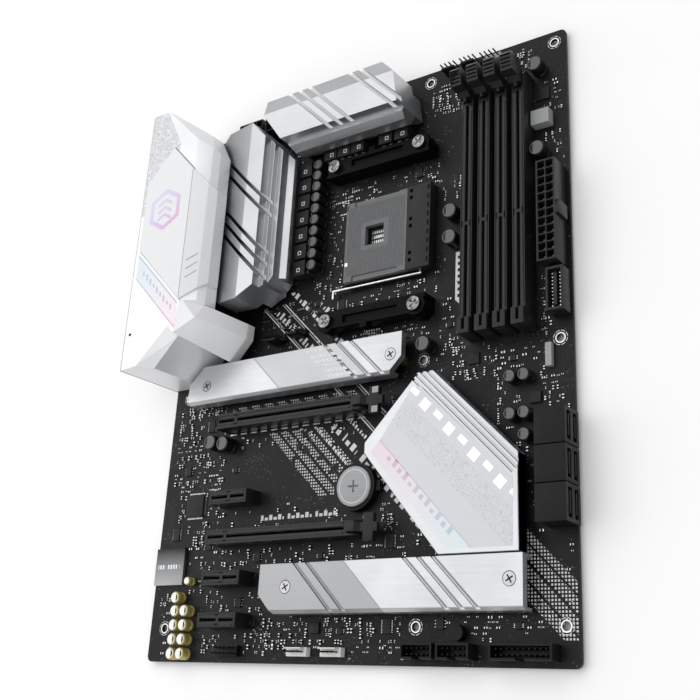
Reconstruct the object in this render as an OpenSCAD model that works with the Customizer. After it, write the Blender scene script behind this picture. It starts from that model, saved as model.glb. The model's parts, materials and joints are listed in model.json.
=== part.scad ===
// ATX desktop motherboard with shrouded rear ports, finned power-stage heatsinks,
// a lever-locked processor socket, four memory slots and five expansion slots.
// Plan positions are given from the rear edge (x) and from the top edge (y, growing downwards);
// heights are above the component side of the board.
// The origin is the datum fixing hole, at the underside of the board, where a stand-off meets it.

/* [Board] */
// Width from the rear edge to the front edge
board_w = 243.84; // [243.5:0.01:244.2]
// Length from the top edge to the bottom edge
board_l = 304.8; // [304.5:0.1:305.1]
// Laminate thickness
board_t = 1.6; // [1.2:0.1:2]
// Corner radius of the laminate
board_r = 3; // [1:0.5:4]
// Radius of the nine fixing holes
fixing_r = 1.98; // [1.9:0.02:2.1]

/* [Rear cover] */
// Height of the cover's flat top
cover_h = 44; // [42:0.5:45]
// Thickness of the cover's walls
cover_wall = 1.6; // [1.2:0.1:2]
// Length of the rear port aperture
aperture_l = 158; // [157:0.25:158.75]
// Thickness of the inlaid cover panel
panel_t = 1.2; // [0.8:0.1:1.6]

/* [Heatsinks] */
// Height of the power-stage heatsink ridge
ridge_h = 28; // [27:0.5:30]
// Height of the drive and chipset heatsink plates
plate_h = 12; // [11:0.5:13]
// Width of the diagonal grooves
groove_w = 1.9; // [1.2:0.1:2.4]

/* [Processor socket] */
// Height of the socket's top face
socket_h = 7; // [6.5:0.1:7.5]
// Radius of the lever wire
lever_r = 0.8; // [0.6:0.05:0.9]

/* [Memory slots] */
// Distance between neighbouring slots
dimm_pitch = 9.35; // [9.2:0.05:9.4]
// Height of the slot body
dimm_h = 12; // [11:0.5:13]
// Height of the latch's finger pad
latch_h = 26; // [24:0.5:28]

/* [Expansion slots] */
// Height of the slot bodies
pcie_h = 11.2; // [11:0.1:11.5]
// Left end of every slot
pcie_x = 43.3; // [43:0.1:44]

/* [Hidden] */
$fn = 48;
eps = 0.01;

datum = [33.02, 6.35];
fixing_holes = [datum, [165.1, 6.35], [237.49, 6.35], [10.16, 163.83], [165.1, 163.83],
    [237.49, 163.83], [10.16, 288.29], [165.1, 288.29], [237.49, 288.29]];

socket_at = [138.65, 93.04];
cooler_spacing = [54, 90];
cooler_hole_r = 2;
cooler_holes = [for (sx = [-1, 1], sy = [-1, 1])
    [socket_at[0] + sx * cooler_spacing[0] / 2, socket_at[1] + sy * cooler_spacing[1] / 2]];

// Screws that pull the fixed heatsinks down from the underside.
sink_holes = [[57, 28], [57, 108], [96, 7], [144, 7], [176, 190], [206, 244]];
sink_hole_r = 1.6;
sink_screw_r = 1.3;

m2_screw_spots_1 = [[33.7, 162.4], [153.7, 162.4]];
m2_screw_spots_2 = [[98.7, 270.7], [217.6, 270.2]];
m2_plate_t = 4;
m2_skirt_z = 3.5;
m2_post_r = 2.5;
m2_post_h = 6;
m2_bore_r = 1.1;

dimm_first_x = 194.8;
dimm_half = 3.2;
dimm_from = 34.6;
dimm_to = 159;
dimm_key_y = 102;
latch_pivot = [29, 4.5];
latch_pin_r = 0.9;
latch_bore_r = 0.96;
cheek_t = 1.1;

pcie_x16_l = 89;
pcie_x1_l = 25;
pcie_half = 3.6;
pcie_x16_rows = [183.7, 244.6];
pcie_x1_rows = [224.3, 265, 285.3];
pcie_pivot = [136, 3];

lever_y = 118.4;
lever_axle = [164, 3.2];
lever_tip_x = 110;

battery_at = [131, 223.8];
cell_r = 10;
cell_h = 3.2;

audio_caps = [for (y = [280, 287, 294, 301], x = [21.1, 27.6]) [x, y]];
large_caps = [[229.8, 20.6], [230.4, 68.4], [182.6, 90.2], [182.6, 104.5], [169, 158], [36, 193], [45, 194.5]];
medium_caps = [[215, 180.5], [222, 180.5], [215, 198], [222, 198], [222, 208]];

port_front = -2;
shield_x = [-1.3, -0.5];
usb_rows = [[20, 34], [56.5, 71], [75, 89.5], [109.5, 123.5]];
usb_heights = [31, 31, 31, 16];
usb_decks = [4, 4, 4, 2];

// Children are placed on the component side, at plan position (0, 0) of the board.
module place() translate([-datum[0], datum[1], board_t]) children();

module at(x, y, z = 0) translate([x, -y, z]) children();

module block(x0, y0, x1, y1, z0, z1) translate([x0, -y1, z0]) cube([x1 - x0, y1 - y0, z1 - z0]);

module post(spot, r, z0, z1) at(spot[0], spot[1], z0) cylinder(r = r, h = z1 - z0);

module plan(points, z0, z1)
    translate([0, 0, z0]) linear_extrude(z1 - z0) polygon([for (p = points) [p[0], -p[1]]]);

// A profile of (plan y, height) points run along the board's width.
module along_x(points, x0, x1)
    translate([x0, 0, 0]) rotate([90, 0, 90]) linear_extrude(x1 - x0)
        polygon([for (p = points) [-p[0], p[1]]]);

// A profile of (plan x, height) points run down the board.
module along_y(points, y0, y1)
    translate([0, -y0, 0]) rotate([90, 0, 0]) linear_extrude(y1 - y0) polygon(points);

// The convex solid around a few (plan x, plan y, height) corners.
module convex(points)
    hull() polyhedron(points = [for (p = points) [p[0], -p[1], p[2]]],
        faces = [[for (i = [0 : len(points) - 1]) i]]);

// A groove that runs diagonally down to the right, through plan point (x, y).
module diagonal_groove(x, y, w, z0, length = 130)
    at(x, y, z0) rotate(-45) translate([-length / 2, -w / 2, 0]) cube([length, w, 40]);

module round_rect(w, l, r) {
    translate([r, -l]) square([w - 2 * r, l]);
    translate([0, -l + r]) square([w, l - 2 * r]);
    for (x = [r, w - r], y = [-r, -l + r]) translate([x, y]) circle(r);
}

/* Board and rear panel */

module pcb()
    color([0.07, 0.07, 0.08]) place() translate([0, 0, -board_t]) linear_extrude(board_t)
        difference() {
            round_rect(board_w, board_l, board_r);
            for (h = fixing_holes) translate([h[0], -h[1]]) circle(fixing_r);
            for (h = cooler_holes) translate([h[0], -h[1]]) circle(cooler_hole_r);
            for (h = sink_holes) translate([h[0], -h[1]]) circle(sink_hole_r);
        }

// The ports' outlines in the shield, with a little room round each.
module port_windows(gap) {
    for (i = [0 : len(usb_rows) - 1])
        block(-4, usb_rows[i][0] - gap, 2, usb_rows[i][1] + gap, 0, usb_heights[i] + gap);
    block(-4, 37.5 - gap, 2, 53.5 + gap, 0, 28 + gap);
    block(-4, 92 - gap, 2, 107 + gap, 0, 28 + gap);
    block(-4, 126.5 - gap, 2, 154 + gap, 0, 34 + gap);
    block(-4, 6 - gap, 2, 17 + gap, 0, 14 + gap);
}

module io_shield()
    color([0.12, 0.12, 0.13]) place() difference() {
        block(shield_x[0], 0, shield_x[1], aperture_l, -1, cover_h - 0.6);
        port_windows(0.3);
    }

// The cover's outer form less w all round, open at the rear and below. With w at 0 it is the outside.
module cover_form(w) {
    top = cover_h - w;
    rear = shield_x[1] - (w > 0 ? 3 : 0);
    low = w > 0 ? -1 : 0.4;
    sill = w > 0 ? -1 : 27;
    convex([[rear, w, top], [12 - w / 3, w, top], [38.5 - w, 26 + w / 2, top], [38.5 - w, 124, top],
        [31 - w, 138 - w, top], [11, 157 - w, top], [rear, aperture_l - w, top - 0.2],
        [36 - w, 143 - w, 40 - w], [19.5 - w / 2, aperture_l - w, 38.5 - w], [rear, w, low],
        [12 - w / 2, w, low], [37 - w, 29 + w, low], [37 - w, 141 - w, low], [20 - w / 2, aperture_l - w, low],
        [rear, aperture_l - w, low]]);
    convex([[12 - w / 3, w, top], [38.5 - w, 26 + w, top], [38.5 - w, 124, top], [46 - w, 31 + w, 39 - w],
        [46 - w, 124, 39 - w], [48.5 - w, 34.5 + w, 35 - w], [48.5 - w, 125.4 - w, 35 - w],
        [41 - w, 20.5 + w, 35 - w], [41 - w, 20.5 + w, sill], [48.5 - w, 34.5 + w, sill],
        [48.5 - w, 125.4 - w, sill], [13, w, 40 - w], [13, w, sill], [30, 124, sill]]);
    convex([[38.5 - w, 122, top], [47.8 - w, 125.4, 34.8 - w], [45.5 - w, 133.3, 38.5 - w],
        [36 - w, 142 - w, top], [30, 136, top], [59 - w, 130.5 + w, 11 - w], [58.5 - w, 138.5, 11 - w],
        [48 - w, 150.5 - w, 11 - w], [59 - w, 130.5 + w, low + 5], [58.5 - w, 138.5, low + 5],
        [48 - w, 150.5 - w, low + 5], [30, 122, low + 5], [47.8 - w, 125.4 + w, low + 5],
        [33, 141 - w, low + 5]]);
}

module io_cover()
    color([0.93, 0.93, 0.94]) place() difference() {
        cover_form(0);
        cover_form(cover_wall);
        block(36.9, -5, 80, 125.4, -5, 27);
        block(13, -5, 80, 12, -5, 27);
        plan([[20, -8], [46, 18], [46, 36], [12, 2]], -5, 27);
    }

module io_cover_panel()
    color([0.86, 0.86, 0.88]) place() {
        t = panel_t;
        plan([[21, 27], [38.3, 45], [38.3, 123.6], [3, 88], [3, 46]], cover_h, cover_h + t);
        difference() {
            convex([[38.3, 45, cover_h - 1], [38.3, 45, cover_h + t], [46.6, 54, 39 + t], [49.8, 58, 35 + t / 2],
                [49.8, 58, 28], [40, 58, 28], [38.3, 123.6, cover_h - 1], [38.3, 123.6, cover_h + t],
                [46.6, 117, 39 + t], [49.8, 113.5, 35 + t / 2], [49.8, 113.5, 28], [40, 113.5, 28]]);
            cover_form(0);
            block(30, 40, 38.3, 130, 20, 60);
        }
    }

/* Rear ports */

module usb_ports()
    color([0.72, 0.72, 0.74]) place() for (i = [0 : len(usb_rows) - 1]) {
        y0 = usb_rows[i][0];
        y1 = usb_rows[i][1];
        deck = usb_heights[i] / usb_decks[i];
        difference() {
            block(port_front, y0, 17, y1, 0, usb_heights[i]);
            for (d = [0 : usb_decks[i] - 1])
                block(port_front - 1, y0 + 0.7, 9, y1 - 0.7, d * deck + 1, (d + 1) * deck - 1);
        }
        for (d = [0 : usb_decks[i] - 1])
            block(port_front + 0.6, y0 + 2, 9, y1 - 2, d * deck + 3.2, d * deck + 5);
    }

module display_ports()
    color([0.5, 0.5, 0.52]) place() difference() {
        block(port_front, 37.5, 19, 53.5, 0, 28);
        block(port_front - 1, 38.2, 8, 52.8, 2, 4.2);
        block(port_front - 1, 38.2, 8, 52.8, 5.6, 7.4);
        along_x([[38, 17], [53, 17], [53, 23.5], [51, 24.5], [38, 24.5]], port_front - 1, 8);
    }

module lan_port()
    color([0.7, 0.7, 0.72]) place() difference() {
        block(port_front, 92, 22, 107, 0, 28);
        block(port_front - 1, 93.4, 12, 105.6, 15.5, 25.5);
        block(port_front - 1, 93, 9, 106, 2, 6.2);
        block(port_front - 1, 93, 9, 106, 8.2, 12.4);
    }

module audio_jacks()
    color([0.09, 0.09, 0.1]) place() difference() {
        block(port_front, 126.5, 20.5, 154, 0, 34);
        for (column = [133, 147.5], level = [6, 17, 28])
            at(port_front - 1, column, level) rotate([0, 90, 0]) cylinder(r = 1.8, h = 14);
    }

module button_housing()
    color([0.1, 0.1, 0.11]) place() difference() {
        block(port_front + 0.6, 6, 10, 17, 0, 14);
        at(port_front - 1, 11.5, 7) rotate([0, 90, 0]) cylinder(r = 2.6, h = 9);
    }

module flashback_button()
    color([0.75, 0.75, 0.77]) place()
        at(port_front - 1.2, 11.5, 7) rotate([0, 90, 0]) cylinder(r = 2.3, h = 7);

/* Power stages */

module vrm_heatsink_left()
    color([0.84, 0.85, 0.87]) place() {
        difference() {
            intersection() {
                along_y([[37.2, 9.5], [37.2, 23.5], [46, 24.8], [63.5, ridge_h], [74.3, ridge_h], [74.3, 22.6],
                    [77.4, 22.6], [77.4, 19.2], [80.6, 19.2], [80.6, 14], [84, 12], [84, 9.5], [81, 9.5],
                    [81, 2.4], [67, 2.4], [67, 9.5]], 10, 125);
                plan([[37, 22], [44, 14.5], [63.5, 14.5], [84.5, 37], [84.5, 109], [80.6, 109], [77, 113],
                    [77, 115], [74, 116], [63, 121.5], [48, 121.5], [37, 111]], 0, 40);
            }
            for (y = [52, 59.5, 82, 89, 96.5]) diagonal_groove(63.5, y, groove_w, 20.6, 40 * sqrt(2));
        }
        for (h = [sink_holes[0], sink_holes[1]]) difference() {
            post(h, 3, 0, 9.5);
            post(h, sink_screw_r + 0.05, -eps, 8);
        }
    }

module vrm_heatsink_top()
    color([0.84, 0.85, 0.87]) place() {
        difference() {
            intersection() {
                along_x([[1, 9.5], [1, 24], [12, ridge_h], [31, ridge_h], [31.1, 21], [32.7, 21], [35, 16],
                    [35, 9.5], [31, 9.5], [31, 2.4], [17, 2.4], [17, 9.5]], 60, 170);
                plan([[70, 0], [148, 0], [159, 12], [162, 31], [159, 36], [88, 36], [86, 32], [72, 13]], 0, 40);
            }
            for (x = [116.5, 123.5, 130.5, 158, 165]) diagonal_groove(x, 31, groove_w, 22.5, 100);
        }
        for (h = [sink_holes[2], sink_holes[3]]) difference() {
            post(h, 3, 0, 9.5);
            post(h, sink_screw_r + 0.05, -eps, 8);
        }
    }

module vrm_pads()
    color([0.55, 0.6, 0.66]) place() {
        block(68, 38, 80, 108, 1.2, 2.4);
        block(92, 18, 156, 30, 1.2, 2.4);
    }

module mosfets()
    color([0.1, 0.1, 0.11]) place() {
        for (i = [0 : 6]) block(71, 39 + i * 10, 76, 45 + i * 10, 0, 1.2);
        for (x = [101.5, 111.5, 121, 139.5, 149.5]) block(x, 21, x + 5, 27, 0, 1.2);
    }

module chokes()
    color([0.16, 0.16, 0.17]) place() {
        for (i = [0 : 6]) block(84.6, 38 + i * 10, 93, 46.6 + i * 10, 0, 8);
        for (x = [105.5, 114.6, 123.7, 142, 152]) block(x - 4.2, 32, x + 4.2, 40.4, 0, 8);
    }

// A can capacitor: a ribbed sleeve with a bead near its foot and a pressed top.
module can(spot, r, h) at(spot[0], spot[1]) rotate_extrude()
    polygon([[0, 0], [r, 0], [r, 1.1], [r - 0.25, 1.4], [r - 0.25, 1.8], [r, 2.1], [r, h - 0.5],
        [r - 0.5, h], [0, h]]);

module vrm_capacitors()
    color([0.13, 0.13, 0.14]) place() for (i = [0 : 9]) can([97.8, 41.5 + i * 6.75], 3.1, 9);

module board_capacitors()
    color([0.13, 0.13, 0.14]) place() {
        for (c = large_caps) can(c, 4, 8);
        for (c = medium_caps) can(c, 3.1, 7);
    }

module audio_capacitors()
    color([0.85, 0.7, 0.3]) place() {
        for (c = audio_caps) can(c, 2.95, 5.8);
        can([20.6, 273.3], 2.95, 5.8);
        can([26.8, 265], 2.1, 4.8);
    }

module square_sockets(x0, y0, columns, rows, z) {
    pitch = 4.2;
    for (c = [0 : columns - 1], r = [0 : rows - 1])
        block(x0 + c * pitch + 0.3, y0 + r * pitch + 0.3, x0 + c * pitch + 3.9, y0 + r * pitch + 3.9, 3, z);
}

module eps_connectors()
    color([0.1, 0.1, 0.11]) place() {
        difference() {
            block(39.6, 2, 57.2, 11.6, 0, 13);
            square_sockets(40, 2.6, 4, 2, 14);
        }
        difference() {
            block(59.6, 2, 69, 11.6, 0, 13);
            square_sockets(60.1, 2.6, 2, 2, 14);
        }
    }

/* Processor socket */

module socket_base()
    color([0.12, 0.12, 0.13]) place() difference() {
        union() {
            block(117.4, 70.4, 171, 117, 0, 4.4);
            block(157.2, 70.4, 171, 117, 4.4, socket_h);
        }
        block(131.5, 87, 143, 98, 1, 5);
        at(lever_axle[0], lever_y, lever_axle[1]) rotate([90, 0, 0])
            mirror([0, 0, 1]) cylinder(r = lever_r + 0.06, h = lever_y - 74);
        for (y = [72, 76, 88, 92, 107, 111]) block(158.6, y, 160.4, y + 2, 4.4 + 0.6, 8);
    }

module socket_cover()
    color([0.2, 0.2, 0.21]) place() difference() {
        block(118.8, 71, 157, 116.6, 4.45, socket_h);
        block(131.5, 87, 143, 98, 4, 8);
        for (y = [71, 114.8]) block(124, y - 1, 152, y + 2.8, socket_h - 0.7, 8);
        block(119, 72.5, 120.4, 75, socket_h - 0.5, 8);
    }

module socket_lever()
    color([0.8, 0.8, 0.82]) place() {
        at(lever_axle[0], lever_y, lever_axle[1]) rotate([90, 0, 0])
            mirror([0, 0, 1]) cylinder(r = lever_r, h = lever_y - 75);
        at(lever_axle[0], lever_y, lever_axle[1]) sphere(lever_r);
        at(lever_tip_x, lever_y, lever_axle[1]) rotate([0, 90, 0])
            cylinder(r = lever_r, h = lever_axle[0] - lever_tip_x);
        at(lever_tip_x, lever_y, lever_axle[1]) sphere(lever_r);
        at(lever_tip_x, lever_y, lever_axle[1]) rotate([90, 0, 0]) cylinder(r = lever_r, h = 4);
        at(lever_tip_x, lever_y + 4, lever_axle[1]) sphere(lever_r);
    }

// One bracket along the socket's upper side; the lower one is its mirror image.
module bracket() difference() {
    union() {
        for (h = [cooler_holes[0], cooler_holes[2]]) post(h, 5.4, 0, 10);
        block(107, 44, 170, 51.4, 3, 10);
        block(106, 51.4, 171, 53.6, 0, 10);
        block(133, 41.4, 137, 44, 5, 10);
    }
    for (h = [cooler_holes[0], cooler_holes[2]]) post(h, 1.9, -1, 11);
    block(122, 46, 155, 50, 8, 11);
}

module cooler_brackets()
    color([0.08, 0.08, 0.09]) place() {
        bracket();
        translate([0, -2 * socket_at[1], 0]) mirror([0, 1, 0]) bracket();
    }

module bracket_screws()
    color([0.8, 0.8, 0.82]) place() for (h = cooler_holes) difference() {
        union() {
            post(h, 3.6, 10, 12);
            post(h, 1.5, -3.2, 10);
        }
        at(h[0], h[1], 11) rotate(45) translate([-2.4, -0.4, 0]) cube([4.8, 0.8, 2]);
        at(h[0], h[1], 11) rotate(-45) translate([-2.4, -0.4, 0]) cube([4.8, 0.8, 2]);
    }

module cooler_backplate()
    color([0.25, 0.25, 0.27]) place() difference() {
        union() {
            translate([socket_at[0] - 33, -socket_at[1] + 51, -board_t - 2]) linear_extrude(2)
                round_rect(66, 102, 6);
            for (h = cooler_holes) post(h, 1.9, -board_t - eps, 0);
        }
        for (h = cooler_holes) post(h, 1.6, -board_t - 3, 1);
        block(120, 72, 157, 114, -board_t - 3, 1);
    }

/* Memory slots */

module dimm_slot(i)
    color([0.11, 0.11, 0.12]) place() at(dimm_first_x + i * dimm_pitch, 0) difference() {
        union() {
            block(-dimm_half, dimm_from, dimm_half, dimm_to, 0, dimm_h);
            for (s = [-1, 1]) {
                x0 = s > 0 ? dimm_half - cheek_t : -dimm_half;
                along_x([[24.5, 0], [24.5, 9.4], [27.6, dimm_h], [dimm_from + eps, dimm_h],
                    [dimm_from + eps, 0]], x0, x0 + cheek_t);
            }
            block(-dimm_half, dimm_to - 8, dimm_half, dimm_to, dimm_h, dimm_h + 2);
        }
        block(-0.8, 36, 0.8, dimm_key_y - 0.8, 5, dimm_h + 1);
        block(-0.8, dimm_key_y + 0.8, 0.8, dimm_to - 2, 5, dimm_h + 3);
        for (s = [-1, 1]) block(s * 2.3 - 0.4, 40, s * 2.3 + 0.4, dimm_to - 10, dimm_h - 1, dimm_h + 1);
        at(-dimm_half - 1, latch_pivot[0], latch_pivot[1]) rotate([0, 90, 0])
            cylinder(r = latch_bore_r, h = 2 * dimm_half + 2);
    }

module dimm_slot_1() dimm_slot(0);
module dimm_slot_2() dimm_slot(1);
module dimm_slot_3() dimm_slot(2);
module dimm_slot_4() dimm_slot(3);

module dimm_latch(i)
    color([0.15, 0.15, 0.16]) place() at(dimm_first_x + i * dimm_pitch, 0) {
        along_x([[27, 2.2], [25.6, 8], [25.6, 12.8], [33.2, 12.8], [33.2, 2.2]], -1.95, 1.95);
        difference() {
            along_x([[25.6, 12.8], [22, 17], [21.5, latch_h - 1.6], [23, latch_h - 0.6], [31.4, latch_h - 2],
                [31.4, 18], [33.2, 15], [33.2, 12.8]], -dimm_half + 0.1, dimm_half - 0.1);
            for (k = [0 : 3]) block(-2.6, 23.2 + k * 2, 2.6, 24 + k * 2, latch_h - 2.5, latch_h);
        }
        block(-0.7, 33.2 - eps, 0.7, 35.2, 13.2, 15);
        at(-2.9, latch_pivot[0], latch_pivot[1]) rotate([0, 90, 0]) cylinder(r = latch_pin_r, h = 5.8);
    }

module dimm_latch_1() dimm_latch(0);
module dimm_latch_2() dimm_latch(1);
module dimm_latch_3() dimm_latch(2);
module dimm_latch_4() dimm_latch(3);

/* Expansion slots */

module edge_slot(y, length) difference() {
    block(pcie_x, y - pcie_half, pcie_x + length, y + pcie_half, 0, pcie_h);
    block(pcie_x + 1.5, y - 0.85, pcie_x + 12.4, y + 0.85, 3, pcie_h + 1);
    block(pcie_x + 14.2, y - 0.85, pcie_x + length - 1.5, y + 0.85, 3, pcie_h + 1);
    for (s = [-1, 1])
        block(pcie_x + 1.5, y + s * 2.3 - 0.35, pcie_x + length - 1.5, y + s * 2.3 + 0.35, pcie_h - 0.8,
            pcie_h + 1);
}

module pcie_slot(y) {
    end = pcie_x + pcie_x16_l;
    difference() {
        union() {
            edge_slot(y, pcie_x16_l);
            for (s = [-1, 1])
                along_y([[end, 0], [end, pcie_h], [end + 4, pcie_h], [end + 7.6, 6], [end + 7.6, 0]],
                    s > 0 ? y + 2.4 : y - pcie_half, s > 0 ? y + pcie_half : y - 2.4);
        }
        at(pcie_pivot[0], y - pcie_half - 1, pcie_pivot[1]) rotate([90, 0, 0])
            cylinder(r = latch_bore_r, h = 2 * pcie_half + 2);
    }
}

module pcie_slot_1() color([0.1, 0.1, 0.11]) place() pcie_slot(pcie_x16_rows[0]);
module pcie_slot_2() color([0.1, 0.1, 0.11]) place() pcie_slot(pcie_x16_rows[1]);
module pcie_x1_slots()
    color([0.1, 0.1, 0.11]) place() for (y = pcie_x1_rows) edge_slot(y, pcie_x1_l);

module pcie_armour()
    color([0.55, 0.55, 0.57]) place() {
        y = pcie_x16_rows[0];
        for (s = [-1, 1])
            block(pcie_x, s > 0 ? y + pcie_half : y - pcie_half - 0.4, pcie_x + pcie_x16_l,
                s > 0 ? y + pcie_half + 0.4 : y - pcie_half, 0.4, pcie_h);
        for (s = [-1, 1])
            block(pcie_x, s > 0 ? y + 2.75 : y - pcie_half - 0.4, pcie_x + pcie_x16_l,
                s > 0 ? y + pcie_half + 0.4 : y - 2.75, pcie_h, pcie_h + 0.3);
        block(pcie_x - 0.4, y - pcie_half - 0.4, pcie_x, y + pcie_half + 0.4, 0.4, pcie_h + 0.3);
    }

module pcie_latch(y)
    color([0.14, 0.14, 0.15]) place() {
        along_y([[132.9, 2], [139, 2], [141, 6.5], [149, 8], [149, 10.4], [140.5, 11.6], [138.5, 14],
            [133.6, 14], [132.9, 11]], y - 2.1, y + 2.1);
        along_y([[142, 7.2], [147, 8], [147, 10.7], [142, 11.4]], y - 6.5, y + 6.5);
        at(pcie_pivot[0], y - 3.1, pcie_pivot[1]) rotate([90, 0, 0]) cylinder(r = latch_pin_r, h = 6.2);
    }

module pcie_latch_1() pcie_latch(pcie_x16_rows[0]);
module pcie_latch_2() pcie_latch(pcie_x16_rows[1]);

/* Drive heatsinks */

// A plate of the given outline with a skirt down each long side and a bevelled lower face.
module drive_plate(outline, y0, y1, screws, grooves) difference() {
    intersection() {
        along_x([[y0, m2_skirt_z], [y0, plate_h], [y1 - 1.6, plate_h], [y1, plate_h - 2], [y1, m2_skirt_z],
            [y1 - 1.6, m2_skirt_z], [y1 - 1.6, plate_h - m2_plate_t], [y0 + 1.6, plate_h - m2_plate_t],
            [y0 + 1.6, m2_skirt_z]], 0, board_w);
        plan(outline, 0, 20);
    }
    for (s = screws) {
        post(s, 3.1, plate_h - 1.2, plate_h + 1);
        post(s, m2_bore_r + 0.2, 0, plate_h);
    }
    for (x = grooves) diagonal_groove(x, (y0 + y1) / 2, groove_w - 0.2, plate_h - 1.2, 60);
}

module m2_heatsink_1()
    color([0.84, 0.85, 0.87]) place()
        drive_plate([[31, 151], [160, 151], [160, 164], [152, 172.4], [20.7, 172.4], [20.7, 160.5]],
            151.3, 172, m2_screw_spots_1, [123.5, 131.5, 139.5]);

module m2_heatsink_2()
    color([0.84, 0.85, 0.87]) place()
        drive_plate([[82.2, 259], [223.9, 259], [223.9, 284], [92, 284], [82.2, 274]],
            259.6, 283, m2_screw_spots_2, [115, 122.5, 177, 184.5, 192]);

// A captive screw with a slotted cross head, its shank reaching into the stand-off.
module plate_screw(s) difference() {
    union() {
        post(s, 2.9, plate_h - 1.2, plate_h);
        post(s, m2_bore_r - 0.1, 1.5, plate_h - 1.2);
    }
    at(s[0], s[1], plate_h - 0.7) rotate(30) translate([-2, -0.35, 0]) cube([4, 0.7, 1]);
    at(s[0], s[1], plate_h - 0.7) rotate(120) translate([-2, -0.35, 0]) cube([4, 0.7, 1]);
}

module m2_screws_1() color([0.3, 0.3, 0.32]) place() for (s = m2_screw_spots_1) plate_screw(s);
module m2_screws_2() color([0.3, 0.3, 0.32]) place() for (s = m2_screw_spots_2) plate_screw(s);

module m2_pad_1() color([0.55, 0.6, 0.66]) place() block(42, 154, 134, 170, 6.8, plate_h - m2_plate_t);
module m2_pad_2() color([0.55, 0.6, 0.66]) place() block(108, 262, 198, 279, 6.8, plate_h - m2_plate_t);

module m2_sockets()
    color([0.1, 0.1, 0.11]) place() for (spot = [[137, 153.4], [203, 261.4]]) difference() {
        block(spot[0], spot[1], spot[0] + 8, spot[1] + 16.4, 0, 4.2);
        block(spot[0] - 1, spot[1] + 1, spot[0] + 5, spot[1] + 15.4, 1.8, 3);
    }

module m2_standoffs()
    color([0.75, 0.66, 0.4]) place() for (s = concat(m2_screw_spots_1, m2_screw_spots_2)) difference() {
        post(s, m2_post_r, 0, m2_post_h);
        post(s, m2_bore_r, 1, m2_post_h + 1);
    }

/* Chipset */

module chipset_die()
    color([0.12, 0.2, 0.14]) place() {
        block(173, 207, 197, 231, 0, 1.4);
        block(180, 214, 190, 224, 1.4, 2.2);
    }

module chipset_heatsink()
    color([0.84, 0.85, 0.87]) place() {
        difference() {
            plan([[170, 174], [178, 174], [222, 217], [222, 259], [183, 259], [141, 210], [141, 205]],
                4, plate_h);
            for (k = [0 : 3])
                diagonal_groove(177 - k * 1.8, 176 + k * 1.8, 1.1, plate_h - 1.4, 130);
        }
        block(178, 212, 192, 226, 2.2, 4);
        for (h = [sink_holes[4], sink_holes[5]]) difference() {
            post(h, 3, 0, 4);
            post(h, sink_screw_r + 0.05, -eps, 3.4);
        }
    }

module heatsink_screws()
    color([0.3, 0.3, 0.32]) place() for (h = sink_holes) {
        post(h, 2.6, -board_t - 1.4, -board_t);
        post(h, sink_screw_r, -board_t - eps, 3);
    }

/* Connectors */

module power_connector()
    color([0.1, 0.1, 0.11]) place() {
        difference() {
            block(232.4, 79, 242, 130.6, 0, 13);
            square_sockets(233, 79.6, 2, 12, 14);
        }
        along_x([[101, 3], [101, 12], [104, 13], [108, 13], [108, 3]], 242, 243.6);
    }

module usb3_header()
    color([0.1, 0.1, 0.11]) place() difference() {
        block(234.6, 132.4, 243.2, 153.6, 0, 9);
        difference() {
            block(235.8, 133.8, 242, 152.2, 2, 10);
            block(238, 135, 239.8, 151, 1, 8);
        }
    }

module sata_ports()
    color([0.1, 0.1, 0.11]) place() for (k = [0 : 2]) {
        y = 199.4 + k * 16.4;
        difference() {
            block(230.6, y, 245, y + 16, 0, 14.4);
            for (z = [2.2, 8.6]) difference() {
                block(238, y + 1.8, 246, y + 14.2, z, z + 3.6);
                block(237, y + 3.2, 246, y + 12.6, z + 1.2, z + 2.2);
            }
        }
    }

// Upright pins in a row down or across the board.
module pins(x, y, columns, rows, z0, z1)
    for (c = [0 : columns - 1], r = [0 : rows - 1])
        block(x + c * 2.54 - 0.32, y + r * 2.54 - 0.32, x + c * 2.54 + 0.32, y + r * 2.54 + 0.32, z0, z1);

module fan_headers()
    color([0.1, 0.1, 0.11]) place() {
        for (x = [177, 188.5]) {
            block(x - 1.3, 3.4, x + 8.9, 6.4, 0, 3.2);
            block(x, 6.4, x + 7.6, 7.6, 0, 9.4);
            pins(x, 4.9, 4, 1, 3.2, 10.5);
        }
        block(198.8, 3.4, 208.9, 6.4, 0, 3.2);
        pins(200, 4.9, 4, 1, 3.2, 9.5);
        for (spot = [[70, 137.5], [84, 136]]) {
            block(spot[0] - 1.3, spot[1], spot[0] + 8.9, spot[1] + 3, 0, 3.2);
            block(spot[0], spot[1] + 3, spot[0] + 7.6, spot[1] + 4.2, 0, 9.4);
            pins(spot[0], spot[1] + 1.5, 4, 1, 3.2, 10.5);
        }
    }

// A shrouded two-row header, open at the top, with a notch in its lower wall.
module shrouded(x, y, columns) {
    l = columns * 2.54 + 3.4;
    difference() {
        block(x, y, x + l, y + 6.6, 0, 8.6);
        block(x + 1, y + 0.9, x + l - 1, y + 5.7, 1.4, 10);
        block(x + l / 2 - 2, y + 5, x + l / 2 + 2, y + 8, 1.4, 10);
    }
    pins(x + 2.95, y + 2.03, columns, 2, 1.4, 7.5);
}

module pin_headers()
    color([0.1, 0.1, 0.11]) place() {
        shrouded(162.5, 295.6, 5);
        shrouded(180.5, 295.6, 5);
        shrouded(206, 295.6, 10);
        for (spot = [[95, 4], [115, 4]]) {
            block(spot[0], 297.4, spot[0] + 12, 301.4, 0, 3);
            pins(spot[0] + 2.2, 299.4, 4, 1, 3, 8.6);
        }
        block(50, 296.6, 63.4, 301.8, 0, 2.5);
        pins(51.8, 297.9, 5, 2, 2.5, 8.6);
    }

/* Battery, audio and small parts */

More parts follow.
